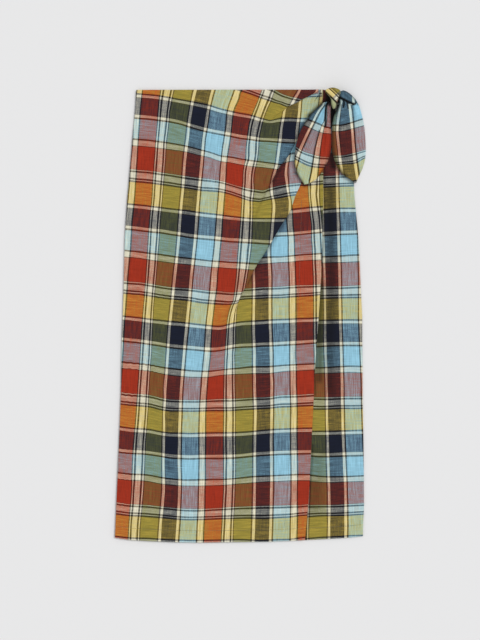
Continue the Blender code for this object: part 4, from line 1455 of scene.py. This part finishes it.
class Nodes:
    """Short calls for the nodes of one material."""

    # Sockets of a mix node that mixes colours
    SHARE, FIRST, SECOND, RESULT = 0, 6, 7, 2

    def __init__(self, name):
        self.material = bpy.data.materials.new(name)
        self.material.use_nodes = True
        self.tree = self.material.node_tree
        self.shader = self.tree.nodes["Principled BSDF"]

    def add(self, kind, **settings):
        node = self.tree.nodes.new(kind)
        for key, value in settings.items():
            setattr(node, key, value)
        return node

    def link(self, source, target):
        self.tree.links.new(source, target)

    def feed(self, socket, value):
        """Gives a socket a constant or the output of another node."""
        if isinstance(value, bpy.types.NodeSocket):
            self.link(value, socket)
        else:
            socket.default_value = value

    def surface(self, settings):
        """Sets constant values of the shader."""
        for name, value in settings.items():
            self.shader.inputs[name].default_value = value

    def relief(self, height, strength, depth):
        """Low relief that the surface's light follows."""
        node = self.add("ShaderNodeBump")
        node.inputs["Strength"].default_value = strength
        node.inputs["Distance"].default_value = depth
        self.link(height, node.inputs["Height"])
        self.link(node.outputs[0], self.shader.inputs["Normal"])

    def math(self, operation, *values):
        node = self.add("ShaderNodeMath", operation=operation)
        for socket, value in zip(node.inputs, values):
            self.feed(socket, value)
        return node.outputs[0]

    def mix(self, share, first, second, blend="MIX"):
        node = self.add("ShaderNodeMix", data_type="RGBA", blend_type=blend)
        for number, value in ((self.SHARE, share), (self.FIRST, first), (self.SECOND, second)):
            self.feed(node.inputs[number], value)
        return node.outputs[self.RESULT]

    def stripes(self, position, repeat, sett, yarn):
        """The colour of a stripe at a position counted in repeats."""
        node = self.add("ShaderNodeValToRGB")
        ramp = node.color_ramp
        ramp.interpolation = "CONSTANT"
        for k, (start, name) in enumerate(sett):
            element = ramp.elements[0] if k == 0 else ramp.elements.new(start / repeat)
            element.position = start / repeat
            element.color = (*(part / 255 for part in yarn[name]), 1.0)
        ramp.elements.remove(ramp.elements[-1])
        self.link(self.math("FRACT", position), node.inputs[0])
        return node.outputs[0]

    def noise(self, vector, scale, detail=2.0):
        node = self.add("ShaderNodeTexNoise")
        node.inputs["Scale"].default_value = scale
        node.inputs["Detail"].default_value = detail
        self.link(vector, node.inputs["Vector"])
        return node.outputs[0]

    def slubs(self, across, along):
        """Thick and thin places of parallel yarns, about -0.5 to 0.5, from two places in pixels."""
        across = self.math("MULTIPLY", across, SLUB_PITCH)
        along = self.math("MULTIPLY", along, SLUB_RUN)
        return self.math("SUBTRACT", self.noise(self.combine(across, along), 1.0, SLUB_DETAIL), 0.5)

    def shaded(self, colour, slub):
        """A yarn colour, lighter where its yarns are thick."""
        return self.mix(1.0, colour, self.math("MULTIPLY_ADD", slub, SLUB_SHADE, 1.0), "MULTIPLY")

    def combine(self, x, y):
        node = self.add("ShaderNodeCombineXYZ")
        for socket, value in zip(node.inputs, (x, y)):
            self.feed(socket, value)
        return node.outputs[0]


def cotton(name):
    """Plain woven check: the yarns of both directions show about equally, with slubs along each."""
    nodes = Nodes(name)
    where = nodes.add("ShaderNodeUVMap", uv_map="Check")
    split = nodes.add("ShaderNodeSeparateXYZ")
    nodes.link(where.outputs[0], split.inputs[0])
    warp, weft = split.outputs[0], split.outputs[1]
    warp_place = nodes.math("MULTIPLY", warp, WARP_REPEAT)
    weft_place = nodes.math("MULTIPLY", weft, WEFT_REPEAT)
    warp_colour = nodes.stripes(warp, WARP_REPEAT, WARP, WARP_YARN)
    weft_colour = nodes.stripes(weft, WEFT_REPEAT, WEFT, WEFT_YARN)
    warp_slub = nodes.slubs(warp_place, weft_place)
    weft_slub = nodes.slubs(weft_place, warp_place)
    over = nodes.math(
        "MULTIPLY",
        nodes.math("SINE", nodes.math("MULTIPLY", warp_place, THREADS * math.pi)),
        nodes.math("SINE", nodes.math("MULTIPLY", weft_place, THREADS * math.pi)),
    )
    balance = nodes.math("MULTIPLY_ADD", over, WEAVE_CONTRAST, 0.5)
    balance = nodes.math("ADD", balance, nodes.math("MULTIPLY", weft_slub, SLUB_BALANCE))
    balance = nodes.math("SUBTRACT", balance, nodes.math("MULTIPLY", warp_slub, SLUB_BALANCE))
    warp_colour = nodes.shaded(warp_colour, warp_slub)
    weft_colour = nodes.shaded(weft_colour, weft_slub)
    colour = nodes.mix(balance, warp_colour, weft_colour)
    # Painted shade: the colour is multiplied by the light value kept on each point of the cloth.
    light = nodes.add("ShaderNodeAttribute", attribute_name="light")
    colour = nodes.mix(1.0, colour, light.outputs["Fac"], "MULTIPLY")
    gamma = nodes.add("ShaderNodeGamma")
    gamma.inputs[1].default_value = SCREEN_GAMMA
    nodes.link(colour, gamma.inputs[0])
    nodes.link(gamma.outputs[0], nodes.shader.inputs["Base Color"])
    nodes.surface(COTTON_SURFACE)
    slubs = nodes.math("ADD", warp_slub, weft_slub)
    nodes.relief(nodes.math("ADD", over, slubs), *COTTON_RELIEF)
    return nodes.material


def thread():
    """Dull cotton thread, twisted, so that it is darker and lighter in short slanted bands."""
    nodes = Nodes("sewing_thread")
    where = nodes.add("ShaderNodeTexCoord")
    twist = nodes.noise(where.outputs["Object"], THREAD_TWIST)
    nodes.link(nodes.mix(twist, THREAD_DARK, THREAD_LIGHT), nodes.shader.inputs["Base Color"])
    nodes.surface(THREAD_SURFACE)
    nodes.relief(twist, *THREAD_RELIEF)
    return nodes.material


def paper():
    nodes = Nodes("studio_floor")
    nodes.surface(PAPER_SURFACE)
    return nodes.material


# Studio


def add_floor():
    mesh = bpy.data.meshes.new("floor")
    corners = ((-1, -1), (1, -1), (1, 1), (-1, 1))
    points = [(x * FLOOR_HALF, y * FLOOR_HALF, FLOOR_LEVEL) for x, y in corners]
    mesh.from_pydata(points, [], [(0, 1, 2, 3)])
    floor = bpy.data.objects.new("floor", mesh)
    mesh.materials.append(paper())
    bpy.context.scene.collection.objects.link(floor)


def add_light():
    """Even light from all sides and a broad, soft sun from the upper right."""
    world = bpy.data.worlds.new("studio")
    world.use_nodes = True
    background = world.node_tree.nodes["Background"]
    background.inputs["Color"].default_value = (1.0, 1.0, 1.0, 1.0)
    background.inputs["Strength"].default_value = SKY_LIGHT
    bpy.context.scene.world = world
    sun = bpy.data.lights.new("key", "SUN")
    sun.energy = SUN_LIGHT
    sun.angle = math.radians(SUN_WIDTH)
    lamp = bpy.data.objects.new("key", sun)
    lamp.rotation_euler = Vector(SUN_DIRECTION).to_track_quat("Z", "Y").to_euler()
    bpy.context.scene.collection.objects.link(lamp)


def add_camera():
    """A camera straight above that frames what the photograph frames."""
    lens = bpy.data.cameras.new("camera")
    lens.sensor_fit = "VERTICAL"
    lens.sensor_height = SENSOR
    lens.lens = LENS
    lens.clip_end = SIGHT
    camera = bpy.data.objects.new("camera", lens)
    centre = place(*PHOTO_CENTRE)
    camera.location = (centre.x, centre.y, PHOTO_HEIGHT * PIXEL * LENS / SENSOR + FOCUS_HEIGHT)
    bpy.context.scene.collection.objects.link(camera)
    bpy.context.scene.camera = camera
    bpy.context.scene.view_settings.view_transform = "Standard"


def main():
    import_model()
    cloth = cotton("checked_cotton")
    back = back_panel()
    under = under_panel()
    over = over_panel()
    ground = Ground([back, under, over])
    left = tie_end(
        "left_tie_cloth", LEFT_TAIL, LEFT_PLEATS, LEFT_TAIL_FOLDS, LEFT_TAIL_SHADE,
        TailCheck(LEFT_TAIL_WARP, LEFT_TAIL_WEFT, 0.0), ground,
    )
    right = tie_end(
        "right_tie_cloth", RIGHT_TAIL, RIGHT_PLEATS, RIGHT_TAIL_FOLDS, RIGHT_TAIL_SHADE,
        TailCheck(RIGHT_TAIL_WARP, RIGHT_TAIL_WEFT, TAIL_SLANT), Ground([back, under]),
    )
    knot = knot_wrap(2 * CLOTH + GAP)
    sewing = [
        stitches("over_hem_stitches", hem_line(*OVER_HEM_STITCHES), Ground([over])),
        stitches("free_edge_stitches", edge_line(), Ground([over])),
        stitches("under_hem_stitches", hem_line(*UNDER_HEM_STITCHES), Ground([under, over])),
    ]
    yarn = thread()
    for row in sewing:
        row.data.materials.append(yarn)
        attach(row, "root")
    for piece, node, slot in (
        (back, "back_panel", "back_cloth"),
        (under, "under_panel", "under_cloth"),
        (over, "over_panel", "over_cloth"),
        (left, "tail_left", "left_tie_cloth"),
        (right, "tail_right", "right_tie_cloth"),
        (knot, "knot_wrap", "knot_cloth"),
    ):
        piece.data.materials.append(cloth)
        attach(piece, "root")
        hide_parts(node)
    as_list(sewing[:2])
    add_floor()
    add_light()
    add_camera()


main()
